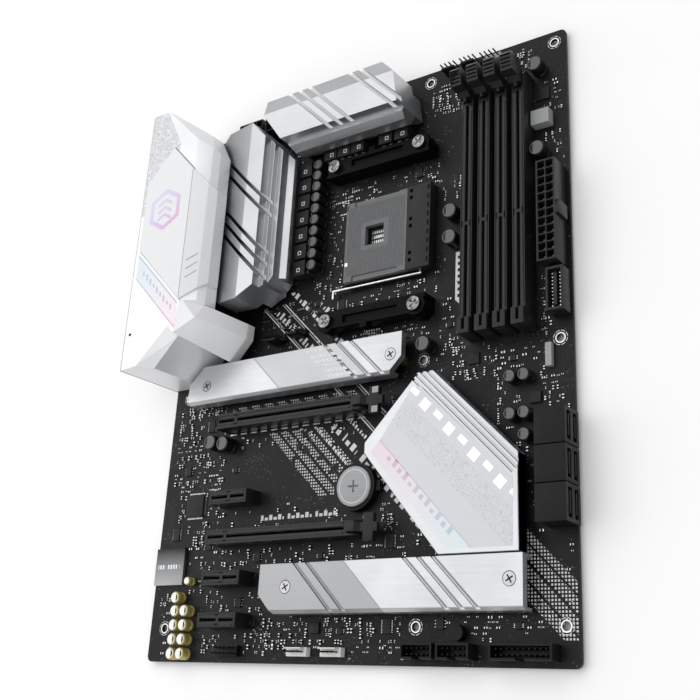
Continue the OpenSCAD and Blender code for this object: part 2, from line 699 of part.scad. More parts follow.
module battery_holder()
    color([0.1, 0.1, 0.11]) place() {
        difference() {
            post(battery_at, cell_r + 1.6, 0, 4.6);
            post(battery_at, cell_r + 0.25, 1.6, 6);
        }
        block(battery_at[0] + 11.4, battery_at[1] - 2.5, battery_at[0] + 13.6, battery_at[1] + 2.5, 0, 3);
    }

module coin_cell()
    color([0.75, 0.75, 0.77]) place() at(battery_at[0], battery_at[1], 1.6) rotate_extrude()
        polygon([[0, 0], [cell_r - 1.2, 0], [cell_r - 1.2, 0.3], [cell_r - 0.4, 0.3], [cell_r, 0.7],
            [cell_r, cell_h + 0.4], [cell_r - 0.4, cell_h + 0.8], [0, cell_h + 0.8]]);

module audio_shield()
    color([0.35, 0.35, 0.37]) place() difference() {
        block(0.4, 247.4, 20.8, 266.6, 0, 2);
        block(1, 248, 20.2, 266, -1, 1.5);
    }

module controllers()
    color([0.13, 0.13, 0.14]) place() {
        block(18, 219.4, 30, 231.4, 0, 1.6);
        block(4, 251, 13, 260, 0, 1.2);
        block(190.5, 164.5, 196.5, 170, 0, 1);
        block(222.5, 187.5, 228, 192.8, 0, 1.4);
        block(106, 286, 112, 291, 0, 1.2);
        block(227.5, 31, 234.5, 38, 0, 1);
    }

module inductors()
    color([0.5, 0.5, 0.52]) place() {
        block(226.6, 46, 236, 54, 0, 5.4);
        block(231, 166, 234, 177, 0, 2.6);
        post([188, 291], 3.4, 0, 4.4);
    }

pcb();
io_shield();
io_cover();
io_cover_panel();
usb_ports();
display_ports();
lan_port();
audio_jacks();
button_housing();
flashback_button();
vrm_heatsink_left();
vrm_heatsink_top();
vrm_pads();
mosfets();
chokes();
vrm_capacitors();
board_capacitors();
audio_capacitors();
eps_connectors();
socket_base();
socket_cover();
socket_lever();
cooler_brackets();
bracket_screws();
cooler_backplate();
dimm_slot_1();
dimm_slot_2();
dimm_slot_3();
dimm_slot_4();
dimm_latch_1();
dimm_latch_2();
dimm_latch_3();
dimm_latch_4();
pcie_slot_1();
pcie_slot_2();
pcie_x1_slots();
pcie_armour();
pcie_latch_1();
pcie_latch_2();
m2_heatsink_1();
m2_heatsink_2();
m2_screws_1();
m2_screws_2();
m2_pad_1();
m2_pad_2();
m2_sockets();
m2_standoffs();
chipset_die();
chipset_heatsink();
heatsink_screws();
power_connector();
usb3_header();
sata_ports();
fan_headers();
pin_headers();
battery_holder();
coin_cell();
audio_shield();
controllers();
inductors();
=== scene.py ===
"""Looks of the motherboard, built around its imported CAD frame. Pieces are drawn in plan millimetres."""

import json
import math
import random

import bmesh
import bpy
import numpy as np
from mathutils import Matrix, Vector

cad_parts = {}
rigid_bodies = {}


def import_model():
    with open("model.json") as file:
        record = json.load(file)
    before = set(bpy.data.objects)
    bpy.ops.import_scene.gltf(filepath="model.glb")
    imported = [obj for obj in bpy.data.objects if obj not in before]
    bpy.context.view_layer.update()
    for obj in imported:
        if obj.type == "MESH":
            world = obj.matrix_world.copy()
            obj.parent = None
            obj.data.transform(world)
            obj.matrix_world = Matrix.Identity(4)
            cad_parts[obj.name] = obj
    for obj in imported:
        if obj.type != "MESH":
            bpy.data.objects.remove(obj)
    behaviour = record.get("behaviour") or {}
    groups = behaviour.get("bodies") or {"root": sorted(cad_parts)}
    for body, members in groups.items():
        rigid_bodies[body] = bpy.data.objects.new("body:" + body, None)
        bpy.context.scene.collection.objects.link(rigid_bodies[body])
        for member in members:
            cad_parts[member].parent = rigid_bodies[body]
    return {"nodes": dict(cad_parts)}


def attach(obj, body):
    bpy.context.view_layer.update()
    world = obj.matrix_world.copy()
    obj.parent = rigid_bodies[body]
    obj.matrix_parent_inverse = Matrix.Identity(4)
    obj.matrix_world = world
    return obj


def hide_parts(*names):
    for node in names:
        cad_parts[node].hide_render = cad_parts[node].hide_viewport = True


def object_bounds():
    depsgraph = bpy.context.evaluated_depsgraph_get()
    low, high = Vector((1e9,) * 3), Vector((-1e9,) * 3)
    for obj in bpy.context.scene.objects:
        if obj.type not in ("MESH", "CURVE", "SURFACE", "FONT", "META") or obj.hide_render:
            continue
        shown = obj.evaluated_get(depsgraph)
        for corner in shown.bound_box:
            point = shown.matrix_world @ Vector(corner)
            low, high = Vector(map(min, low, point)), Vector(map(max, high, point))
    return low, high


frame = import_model()
cad_low, cad_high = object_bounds()

MM = 0.001
# The datum fixing hole, which is the frame's origin, as measured from the board's rear and top edges.
DATUM_X, DATUM_Y, BOARD_T = 33.02, 6.35, 1.6
BOARD_W, BOARD_L = 243.84, 304.8
# How far the panel's top is let down for the print that lies on it.
PRINT_T = 0.06
# Heights above the board: cover, panel on the cover, flat heatsinks, chokes.
COVER_TOP, PANEL_TOP, SINK_TOP, CHOKE_TOP = 44.0, 45.2, 12.0, 8.0
# Middle lines of the four memory slots, and from where to where their contacts run.
MEMORY_ROWS, MEMORY_GROOVE = [194.8 + 9.35 * i for i in range(4)], (38.0, 156.0)
# Middle line and length of each card slot, the rear end they share, and where their contacts start.
CARD_ROWS = ((183.7, 89), (244.6, 89), (224.3, 25), (265, 25), (285.3, 25))
CARD_REAR, CARD_FIRST = 43.3, 45.6
# Where the key of a memory slot and of a card slot interrupts the contacts.
MEMORY_KEY, CARD_KEY = 102, 56.6
POWER_PITCH = 4.2
# The power-stage capacitors stand in a row; the audio ones in two columns with one apart.
STAGE_CANS = [(97.8, 41.5 + i * 6.75) for i in range(10)]
AUDIO_CANS = [(x, y) for y in (280, 287, 294, 301) for x in (21.1, 27.6)] + [(20.6, 273.3)]
# Each stack of serial ports: its two sides along the rear edge, its height and how many decks it has.
PORT_STACKS = (((20, 34), 31, 4), ((56.5, 71), 31, 4), ((75, 89.5), 31, 4), ((109.5, 123.5), 16, 2))
OTHER_PORTS = ((37.5, 53.5), (92, 107), (126.5, 154))


def spot(x, y, z=0.0):
    """A plan position (mm from the rear edge, mm from the top edge, mm above the board) in the frame."""
    return Vector(((x - DATUM_X) * MM, (DATUM_Y - y) * MM, (BOARD_T + z) * MM))


# ---- materials


class Look:
    """A node material in plan millimetres: x from the rear edge, y from the top edge, z up from the board."""

    def __init__(self, name):
        self.mat = bpy.data.materials.new(name)
        self.mat.use_nodes = True
        self.nt = self.mat.node_tree
        self.bsdf = self.nt.nodes["Principled BSDF"]
        plan = self.node("Mapping", Vector=self.node("TexCoord").outputs["Object"],
                         Scale=(1 / MM, -1 / MM, 1 / MM), Location=(DATUM_X, DATUM_Y, -BOARD_T))
        self.at = plan.outputs["Vector"]
        self._axes = None

    def node(self, kind, **inputs):
        """A new node with the named inputs linked or set; an underscore stands for a space in a name."""
        made = self.nt.nodes.new("ShaderNode" + kind)
        for name, value in inputs.items():
            self.link(value, made.inputs[name.replace("_", " ")])
        return made

    def link(self, value, socket):
        if isinstance(value, bpy.types.NodeSocket):
            self.nt.links.new(value, socket)
        elif isinstance(value, tuple) and len(value) == 3 and len(socket.default_value) == 4:
            socket.default_value = (*value, 1)
        else:
            socket.default_value = value

    def axes(self):
        if self._axes is None:
            self._axes = tuple(self.node("SeparateXYZ", Vector=self.at).outputs)
        return self._axes

    def math(self, op, a, b=0.0, c=0.0):
        n = self.node("Math")
        n.operation = op
        for value, socket in zip((a, b, c), n.inputs):
            self.link(value, socket)
        return n.outputs[0]

    def plus(self, a, b):
        return self.math("ADD", a, b)

    def minus(self, a, b):
        return self.math("SUBTRACT", a, b)

    def times(self, a, b):
        return self.math("MULTIPLY", a, b)

    def above(self, v, low):
        return self.math("GREATER_THAN", v, low)

    def below(self, v, high):
        return self.math("LESS_THAN", v, high)

    def near(self, v, middle, reach):
        return self.below(self.math("ABSOLUTE", self.minus(v, middle)), reach)

    def between(self, v, low, high):
        return self.times(self.above(v, low), self.below(v, high))

    def zone(self, x0, x1, y0, y1):
        x, y, _ = self.axes()
        return self.times(self.between(x, x0, x1), self.between(y, y0, y1))

    def both(self, *masks):
        out = masks[0]
        for m in masks[1:]:
            out = self.times(out, m)
        return out

    def either(self, *masks):
        out = masks[0]
        for m in masks[1:]:
            out = self.math("MAXIMUM", out, m)
        return out

    def noise(self, scale, detail=3.0, stretch=(1, 1, 1), distortion=0.0):
        """Noise with `scale` features per millimetre."""
        at = self.node("Mapping", Scale=stretch, Vector=self.at).outputs["Vector"]
        n = self.node("TexNoise", Vector=at, Scale=scale, Detail=detail, Distortion=distortion)
        return n.outputs["Fac"]

    def cells(self, scale):
        """Distance from the nearest of scattered points, `scale` of them per millimetre."""
        return self.node("TexVoronoi", Vector=self.at, Scale=scale).outputs["Distance"]

    def stripes(self, v, pitch, share, offset=0.0):
        """1 on `share` of every `pitch` millimetres along v."""
        return self.below(self.math("FRACT", self.math("DIVIDE", self.plus(v, offset), pitch)), share)

    def ramp(self, fac, low, high, a=0.0, b=1.0):
        n = self.node("MapRange", Value=fac, From_Min=low, From_Max=high, To_Min=a, To_Max=b)
        return n.outputs["Result"]

    def mix(self, fac, a, b):
        n = self.node("Mix")
        n.data_type = "RGBA"
        self.link(fac, n.inputs["Factor"])
        self.link(a, n.inputs["A"])
        self.link(b, n.inputs["B"])
        return n.outputs["Result"]

    def tone(self, fac, a=0.0, b=1.0):
        """The middle of a noise's span, spread from a to b."""
        return self.ramp(fac, 0.3, 0.7, a, b)

    def facing_up(self, low=0.7):
        """1 where the true face looks up."""
        split = self.node("SeparateXYZ", Vector=self.node("NewGeometry").outputs["Normal"])
        return self.above(split.outputs[2], low)

    def bump(self, height, strength=0.3, distance_mm=0.05):
        n = self.node("Bump", Strength=strength, Distance=distance_mm * MM, Height=height)
        self.link(n.outputs["Normal"], self.bsdf.inputs["Normal"])

    def surface(self, base=None, rough=None, metallic=None, specular=None):
        for value, name in ((base, "Base Color"), (rough, "Roughness"), (metallic, "Metallic"),
                            (specular, "Specular IOR Level")):
            if value is not None:
                self.link(value, self.bsdf.inputs[name])
        return self.mat


def moulded(name, dark, light, rough=0.5, specular=0.5, strength=0.25, grain=3.0):
    """Moulded plastic: a fine grain, a slow drift of tone and a little wear in its gloss."""
    k = Look(name)
    drift = k.noise(0.08, 2)
    fine = k.noise(grain, 4)
    tone = k.plus(k.times(drift, 0.6), k.times(fine, 0.4))
    k.bump(fine, strength, 0.04)
    gloss = k.tone(k.noise(0.5, 3), rough - 0.07, rough + 0.07)
    return k.surface(k.mix(tone, dark, light), gloss, None, specular)


def blasted(name, dark, light, rough=0.34, metallic=0.9):
    """Bead-blasted and anodised aluminium, brushed very lightly along the board."""
    k = Look(name)
    sweep, speck, drawn = k.noise(0.022, 2), k.noise(6.0, 3), k.noise(1.2, 3, (0.06, 1, 1))
    tone = k.plus(k.times(sweep, 0.7), k.times(drawn, 0.3))
    k.bump(k.plus(speck, k.times(drawn, 0.5)), 0.12, 0.02)
    gloss = k.tone(k.plus(k.times(speck, 0.5), k.times(drawn, 0.5)), rough - 0.06, rough + 0.08)
    return k.surface(k.mix(k.tone(tone), dark, light), gloss, metallic)


def slope_silver(name):
    """Blasted silver with painted shade: its rear sloping face darkens towards its foot beside the cover, and
    the walls of the slots across it are painted near black.
    """
    k = Look(name)
    x, _, z = k.axes()
    sweep, speck = k.noise(0.022, 2), k.noise(6.0, 3)
    # A slot's walls are the faces that look along the board's diagonal; they are painted near black as the
    # shade inside the slots.
    lean = k.node("VectorMath")
    lean.operation = "DOT_PRODUCT"
    k.link(k.node("NewGeometry").outputs["True Normal"], lean.inputs[0])
    k.link((0.7071, 0.7071, 0.0), lean.inputs[1])
    slot = k.both(k.above(k.math("ABSOLUTE", lean.outputs["Value"]), 0.8), k.between(x, 38, 61),
                  k.above(z, 20))
    # Painted shade: the rear sloping face grows darker towards its foot, in the gap beside the cover.
    gap_shade = k.both(k.below(x, 63.4), k.ramp(x, 44, 63, 1.0, 0.25))
    base = k.mix(k.tone(sweep), (0.5, 0.51, 0.525), (0.62, 0.63, 0.645))
    base = k.mix(k.times(gap_shade, 0.75), base, (0.24, 0.244, 0.25))
    # Painted shade: the slot walls are made near black.
    base = k.mix(slot, base, (0.006, 0.006, 0.007))
    k.bump(speck, 0.1, 0.02)
    rough = k.plus(k.tone(speck, 0.3, 0.4), k.times(slot, 0.4))
    return k.surface(base, rough, k.minus(0.9, k.times(slot, 0.8)))


def zoned_silver(name):
    """Blasted silver in slanting zones, some of them darker."""
    k = Look(name)
    x, y, _ = k.axes()
    across = k.minus(x, y)
    sweep, speck, drawn = k.noise(0.03, 2), k.noise(6.0, 3), k.noise(1.2, 3, (0.06, 1, 1))
    first = k.both(k.below(y, 200), k.between(across, -86.0, -28.0))
    second = k.both(k.above(y, 200), k.below(across, -127.8))
    tone = k.plus(k.times(sweep, 0.7), k.times(drawn, 0.3))
    base = k.mix(k.tone(tone), (0.46, 0.47, 0.485), (0.6, 0.61, 0.625))
    base = k.mix(k.times(first, 0.45), base, (0.3, 0.305, 0.31))
    base = k.mix(k.times(second, 0.8), base, (0.27, 0.275, 0.28))
    k.bump(k.plus(speck, k.times(drawn, 0.5)), 0.12, 0.02)
    return k.surface(base, k.tone(speck, 0.28, 0.4), 0.9)


def fading_shield(name):
    """A metallic cover that fades from black at its upper edge to grey, with a row of plain bars."""
    k = Look(name)
    x, y, _ = k.axes()
    speck = k.noise(4.0, 3)
    base = k.mix(k.ramp(y, 248, 266), (0.02, 0.0205, 0.022), (0.36, 0.365, 0.375))
    bars = k.both(k.zone(2.5, 18.5, 256.0, 258.2), k.stripes(x, 1.9, 0.6), k.stripes(x, 9.0, 0.8))
    base = k.mix(bars, base, (0.75, 0.76, 0.77))
    k.bump(speck, 0.08, 0.02)
    return k.surface(base, k.tone(speck, 0.34, 0.44), k.minus(0.7, k.times(bars, 0.6)))


def plated(name, dark, light, rough=0.28):
    """Plated or bare sheet steel with rolling marks and faint stains."""
    k = Look(name)
    rolled = k.noise(2.5, 4, (1, 0.08, 1))
    stain = k.noise(0.35, 3)
    k.bump(rolled, 0.1, 0.02)
    gloss = k.tone(rolled, rough - 0.08, rough + 0.12)
    return k.surface(k.mix(k.ramp(stain, 0.35, 0.65), dark, light), gloss, 1.0)


def solder_mask(name, under=False):
    """Charcoal solder mask: copper runs showing through, vias, and on the component side printed marks."""
    k = Look(name)
    x, y, _ = k.axes()
    across = k.minus(x, y)
    along = k.plus(x, y)
    weave = k.noise(5.0, 3)
    # Runs of parallel copper tracks, gathered in patches and turned between straight and diagonal.
    patch = k.above(k.noise(0.055, 2, distortion=0.6), 0.52)
    turn = k.above(k.noise(0.035, 1), 0.5)
    unturned = k.minus(1, turn)
    sideways = k.above(k.noise(0.05, 1, (1, 1, 3)), 0.5)
    runs = k.either(k.both(turn, k.stripes(across, 1.25, 0.5)),
                    k.both(unturned, sideways, k.stripes(y, 0.9, 0.5)),
                    k.both(unturned, k.minus(1, sideways), k.stripes(x, 0.95, 0.5)))
    copper = k.both(patch, runs)
    vias = k.both(k.below(k.cells(0.42), 0.1), k.above(k.noise(0.07, 1), 0.5))
    base = k.mix(k.ramp(k.noise(0.02, 2), 0.35, 0.65), (0.0028, 0.003, 0.0035), (0.0062, 0.0066, 0.0075))
    base = k.mix(k.times(copper, 0.5), base, (0.016, 0.017, 0.019))
    base = k.mix(k.times(vias, 0.75), base, (0.11, 0.115, 0.12))
    height = k.plus(copper, k.times(weave, 0.15))
    if not under:
        base = k.mix(printed_marks(k, x, y, across, along), base, (0.62, 0.63, 0.64))
    k.bump(height, 0.35, 0.035)
    return k.surface(base, k.tone(weave, 0.36, 0.5), 0.0, 0.19)


def printed_marks(k, x, y, across, along):
    """White print on the component side: slanting rules, dot screens and plain bars in place of words."""
    dots = k.both(k.stripes(x, 1.55, 0.55), k.stripes(y, 1.55, 0.55))
    # Dot screens, cut into slanting bands that thin out to one side.
    left_screen = k.both(dots, k.zone(56, 128, 190.5, 226), k.between(across, -121, -83),
                         k.stripes(across, 7.4, 0.68, 1.0), k.below(k.noise(0.12, 1), 0.62))
    right_screen = k.both(dots, k.zone(214, 243, 247, 294), k.between(across, -58, -28),
                          k.stripes(across, 8.2, 0.82))
    small_screen = k.both(dots, k.zone(126, 146, 142, 151), k.between(across, -14, -4))
    upper_screen = k.both(dots, k.zone(44, 128, 173.6, 179.6), k.stripes(across, 9.0, 0.6))
    # Long slanting rules that run under the heatsinks from corner to corner.
    rules = k.either(k.between(across, -59.2, -58.3), k.between(across, -57.2, -56.8),
                     k.between(across, -45.2, -44.8), k.between(across, -43.6, -42.7))
    rules = k.both(rules, k.between(y, 118, 206), k.between(x, 60, 160))

    def bars(low, high, pitch, share, y0, y1, seed):
        """A row of plain bars of uneven length, where a board of this kind carries lettering."""
        wide = k.stripes(along, pitch, share, seed)
        gap = k.stripes(along, pitch * 3.3, 0.82, seed * 2)
        cut = k.stripes(along, pitch * 2, 0.5, seed)
        tall = k.between(across, low, high)
        short = k.between(across, low, low + (high - low) * 0.62)
        body = k.either(k.both(cut, tall), k.both(k.minus(1, cut), short))
        return k.both(body, wide, gap, k.between(y, y0, y1))

    rows = k.either(*(bars(*row) for row in (
        (-34.0, -29.5, 5.2, 0.66, 112, 151, 1.5), (-24.5, -20.0, 4.6, 0.62, 122, 136, 0.5),
        (-80.0, -74.6, 6.1, 0.62, 191, 258, 2.4), (-89.5, -86.8, 3.1, 0.66, 190, 216, 1.0),
        (-54.5, -48.5, 4.3, 0.58, 122, 150, 0.8), (-67.0, -64.4, 2.9, 0.6, 176, 203, 0.2),
    )))
    # A tag beside the memory slots and a row of bars between two expansion slots.
    tag = k.both(k.zone(182.4, 187.6, 110, 138.5), k.between(across, 47, 74.5))
    tag_bars = k.both(tag, k.stripes(y, 3.4, 0.5), k.zone(183.6, 186.6, 112, 136))
    tag = k.minus(tag, tag_bars)
    middle = k.both(k.zone(68, 118, 233.2, 235.8), k.stripes(x, 2.9, 0.72), k.stripes(x, 17.5, 0.86),
                    k.either(k.above(y, 234.4), k.stripes(x, 5.8, 0.5)))
    # Fine reference marks beside the small parts.
    fine = k.both(k.above(k.noise(0.9, 1), 0.68), k.above(k.noise(0.09, 1), 0.55))
    strong = k.either(left_screen, right_screen, small_screen, upper_screen, rules, rows, tag, middle)
    return k.math("MAXIMUM", strong, k.times(fine, 0.2))


def cover_white(name):
    """Satin white moulding, with a faint printed web of broken slanting lines in its upper rear corner."""
    k = Look(name)
    x, y, z = k.axes()
    fine = k.noise(5.0, 4)
    web = k.noise(0.3, 3, distortion=2.4)
    ridge = k.near(web, 0.5, 0.035)
    torn = k.above(k.noise(0.2, 3, distortion=1.2), 0.47)
    # The print keeps to the flat top and to the rear of the cover's crease.
    corner = k.both(k.above(z, 43.6), k.below(y, 66), k.below(k.plus(x, k.times(y, 0.42)), 36))
    tint = k.both(corner, k.below(k.minus(x, k.times(y, 0.55)), 11))
    printed = k.both(k.either(ridge, k.both(torn, k.above(k.noise(0.9, 2, distortion=2), 0.52))), tint)
    base = k.mix(k.tone(k.noise(0.03, 2)), (0.76, 0.77, 0.79), (0.86, 0.865, 0.88))
    base = k.mix(k.times(tint, 0.3), base, (0.6, 0.61, 0.63))
    base = k.mix(k.times(printed, 0.6), base, (0.33, 0.34, 0.36))
    k.bump(fine, 0.12, 0.02)
    return k.surface(base, k.tone(fine, 0.3, 0.4), 0.25)


def tinted(name, start, end, stops):
    """A print that runs through the given colours from plan point start to plan point end."""
    k = Look(name)
    x, y, _ = k.axes()
    dx, dy = end[0] - start[0], end[1] - start[1]
    length = math.hypot(dx, dy)
    s = k.plus(k.times(x, dx / length**2), k.times(y, dy / length**2))
    s = k.minus(s, (start[0] * dx + start[1] * dy) / length**2)
    ramp = k.node("ValToRGB", Fac=s)
    while len(ramp.color_ramp.elements) < len(stops):
        ramp.color_ramp.elements.new(0.5)
    for i, (element, colour) in enumerate(zip(ramp.color_ramp.elements, stops)):
        element.position = i / (len(stops) - 1)
        element.color = (*colour, 1)
    speck = k.noise(4.0, 3)
    k.bump(speck, 0.08, 0.02)
    fade = k.ramp(speck, 0.2, 0.8, 0.9, 1.0)
    return k.surface(k.mix(fade, (0.84, 0.85, 0.87), ramp.outputs["Color"]), 0.3, 0.2)


def chipset_print(name):
    """Silver plate with a fine woven print, and broad plain slashes of white across it."""
    k = Look(name)
    x, y, _ = k.axes()
    across = k.minus(x, y)
    along = k.plus(x, y)
    knit = k.either(k.both(k.stripes(x, 0.9, 0.5), k.stripes(y, 0.9, 0.5)),
                    k.both(k.stripes(x, 0.9, 0.5, 0.45), k.stripes(y, 0.9, 0.5, 0.45)))
    slash = k.both(k.between(across, -19.5, -12.5), k.stripes(along, 13.0, 0.56, 3.0),
                   k.either(k.above(across, -16.6), k.stripes(along, 26.0, 0.5, 3.0)))
    web = k.both(k.near(k.noise(0.3, 3, distortion=2.0), 0.5, 0.02), k.between(across, -40, -22))
    base = k.mix(k.times(knit, 0.55), (0.6, 0.61, 0.63), (0.34, 0.35, 0.37))
    base = k.mix(k.times(web, 0.5), base, (0.3, 0.31, 0.33))
    base = k.mix(slash, base, (0.9, 0.9, 0.92))
    k.bump(k.minus(knit, slash), 0.2, 0.03)
    return k.surface(base, 0.42, 0.55)


def can_finish(name, sleeve, top):
    """A can capacitor: a printed sleeve and a pressed bright top with its edge rolled over."""
    k = Look(name)
    up = k.facing_up(0.85)
    speck = k.noise(3.0, 3)
    worn_sleeve, worn_top = (k.mix(speck, tuple(c * 0.8 for c in look), look) for look in (sleeve, top))
    base = k.mix(up, worn_sleeve, worn_top)
    k.bump(speck, 0.12, 0.02)
    return k.surface(base, k.tone(speck, 0.26, 0.42), k.ramp(up, 0, 1, 0.35, 0.85))


def pin_field(name):
    """The sliding cover's grid of pin holes at 1 mm pitch, each a pit painted dark as shade inside a rim
    painted lighter as a highlight, round a plain window.
    """
    k = Look(name)
    x, y, _ = k.axes()
    px, py = (k.minus(k.math("FRACT", v), 0.5) for v in (x, y))
    r2 = k.plus(k.times(px, px), k.times(py, py))
    window = k.zone(129, 146, 84.5, 100.5)
    field = k.both(k.zone(119.8, 156.2, 74, 113.6), k.minus(1, window), k.facing_up())
    # Painted shade in each hole, and a painted highlight on the rim round it.
    pit_shade = k.both(k.below(r2, 0.085), field)
    rim_highlight = k.both(k.below(r2, 0.15), field)
    base = k.mix(k.noise(0.2, 2), (0.098, 0.101, 0.105), (0.13, 0.133, 0.137))
    base = k.mix(k.times(rim_highlight, 0.5), base, (0.21, 0.214, 0.219))
    base = k.mix(pit_shade, base, (0.006, 0.006, 0.007))
    k.bump(k.minus(k.times(rim_highlight, 0.4), pit_shade), 0.6, 0.2)
    return k.surface(base, 0.48)


M = {
    "mask": solder_mask("solder_mask_top"),
    "mask_under": solder_mask("solder_mask_under", True),
    "cover": cover_white("cover_white"),
    "panel": moulded("panel_pearl", (0.72, 0.73, 0.745), (0.76, 0.768, 0.785), 0.26, 0.5, 0.02, 0.12),
    "black": moulded("black_moulding", (0.0032, 0.0034, 0.004), (0.0072, 0.0076, 0.0085), 0.42, 0.18),
    "slot_black": moulded("slot_moulding", (0.007, 0.0074, 0.0082), (0.0145, 0.015, 0.016), 0.34, 0.26, 0.2),
    "charcoal": moulded("charcoal_moulding", (0.009, 0.0094, 0.0102), (0.017, 0.0175, 0.0187), 0.4, 0.24),
    "tooth": moulded("toothed_edge", (0.035, 0.036, 0.038), (0.055, 0.056, 0.058), 0.45, 0.3, 0.2),
    "bracket": moulded("bracket_moulding", (0.0012, 0.0013, 0.0015), (0.003, 0.0031, 0.0035),
                       0.36, 0.07, 0.2, 2.0),
    "deep": moulded("deep_black", (0.004, 0.004, 0.0045), (0.008, 0.008, 0.009), 0.6, 0.1, 0.2),
    "package": moulded("package_epoxy", (0.006, 0.0062, 0.007), (0.013, 0.0135, 0.0145),
                       0.5, 0.25, 0.35, 6.0),
    "print_white": moulded("print_white", (0.6, 0.61, 0.62), (0.72, 0.73, 0.74), 0.5, 0.5, 0.1, 5.0),
    "grey_core": moulded("grey_core", (0.26, 0.265, 0.27), (0.33, 0.335, 0.34), 0.5, 0.5, 0.4, 4.0),
    "white_nylon": moulded("white_nylon", (0.6, 0.6, 0.58), (0.72, 0.72, 0.7), 0.4),
    "green": moulded("package_laminate", (0.02, 0.055, 0.035), (0.03, 0.075, 0.048), 0.4),
    "pad": moulded("thermal_pad", (0.3, 0.33, 0.38), (0.38, 0.41, 0.46), 0.8, 0.5, 0.5, 1.5),
    "blue_tongue": moulded("port_tongue", (0.02, 0.1, 0.3), (0.03, 0.14, 0.36), 0.4),
    "tan": moulded("ceramic_tan", (0.16, 0.11, 0.07), (0.24, 0.17, 0.11), 0.5, 0.5, 0.3, 5.0),
    "sink": blasted("blasted_silver", (0.47, 0.48, 0.495), (0.6, 0.61, 0.625)),
    "sink_left": slope_silver("slope_silver"),
    "sink_drive": zoned_silver("zoned_silver"),
    "shield": fading_shield("fading_shield"),
    "cell": blasted("cell_steel", (0.2, 0.205, 0.21), (0.3, 0.305, 0.31), 0.36, 0.7),
    "chrome": plated("chrome", (0.08, 0.08, 0.083), (0.34, 0.34, 0.345), 0.2),
    "sink_shade": blasted("groove_grey", (0.2, 0.205, 0.21), (0.28, 0.285, 0.29), 0.45, 0.6),
    "steel": plated("plated_steel", (0.42, 0.42, 0.43), (0.5, 0.5, 0.51)),
    "bright": plated("bright_steel", (0.66, 0.66, 0.67), (0.82, 0.82, 0.83), 0.2),
    "tin": plated("tinned", (0.62, 0.62, 0.61), (0.8, 0.8, 0.79), 0.3),
    "dark_steel": plated("dark_steel", (0.06, 0.06, 0.063), (0.11, 0.11, 0.113), 0.34),
    "gold": plated("gold_plate", (0.62, 0.42, 0.14), (0.8, 0.58, 0.24), 0.24),
    "brass": plated("brass", (0.5, 0.38, 0.16), (0.66, 0.52, 0.26), 0.3),
    "can_black": can_finish("can_black", (0.008, 0.0085, 0.0095), (0.11, 0.113, 0.117)),
    "can_gold": can_finish("can_gold", (0.5, 0.4, 0.13), (0.72, 0.72, 0.7)),
    "pins": pin_field("pin_field"),
    "chip_print": chipset_print("chipset_print"),
    "emblem": tinted("emblem_tint", (6, 52), (33, 84),
                     [(0.56, 0.7, 0.84), (0.6, 0.5, 0.7), (0.7, 0.26, 0.42)]),
    "strip": tinted("strip_tint", (2, 92), (37, 138),
                    [(0.62, 0.72, 0.8), (0.72, 0.72, 0.77), (0.78, 0.69, 0.73)]),
    "strip_line": tinted("strip_line_tint", (2, 92), (37, 138),
                         [(0.42, 0.55, 0.66), (0.45, 0.43, 0.52), (0.72, 0.3, 0.44)]),
    "rear_plate": moulded("rear_plate", (0.008, 0.0085, 0.009), (0.016, 0.0165, 0.018), grain=2.0),
    "chip_strip": tinted("chip_strip_tint", (146, 206), (196, 258),
                         [(0.68, 0.58, 0.62), (0.66, 0.65, 0.68), (0.6, 0.68, 0.7)]),
    "chip_line": tinted("chip_line_tint", (146, 206), (196, 258),
                        [(0.62, 0.34, 0.44), (0.5, 0.45, 0.56), (0.38, 0.52, 0.58)]),
}

# ---- mesh making


def put(name, data):
    """A new object of the scene that holds the data."""
    piece = bpy.data.objects.new(name, data)
    bpy.context.scene.collection.objects.link(piece)
    return piece


def turns_forward(points):
    """Whether an outline's signed area in plan is above zero."""
    return sum(a[0] * b[1] - b[0] * a[1] for a, b in zip(points, [*points[1:], points[0]])) > 0


def hoop(section, sides):
    """Points and faces of a closed ring; section gives its four corners in the direction (cosine, sine)."""
    points, faces = [], []
    for i in range(sides):
        angle = 2 * math.pi * i / sides
        points += section(math.cos(angle), math.sin(angle))
        a, b = i * 4, (i + 1) % sides * 4
        faces += [(a + j, b + j, b + (j + 1) % 4, a + (j + 1) % 4) for j in range(4)]
    return points, faces


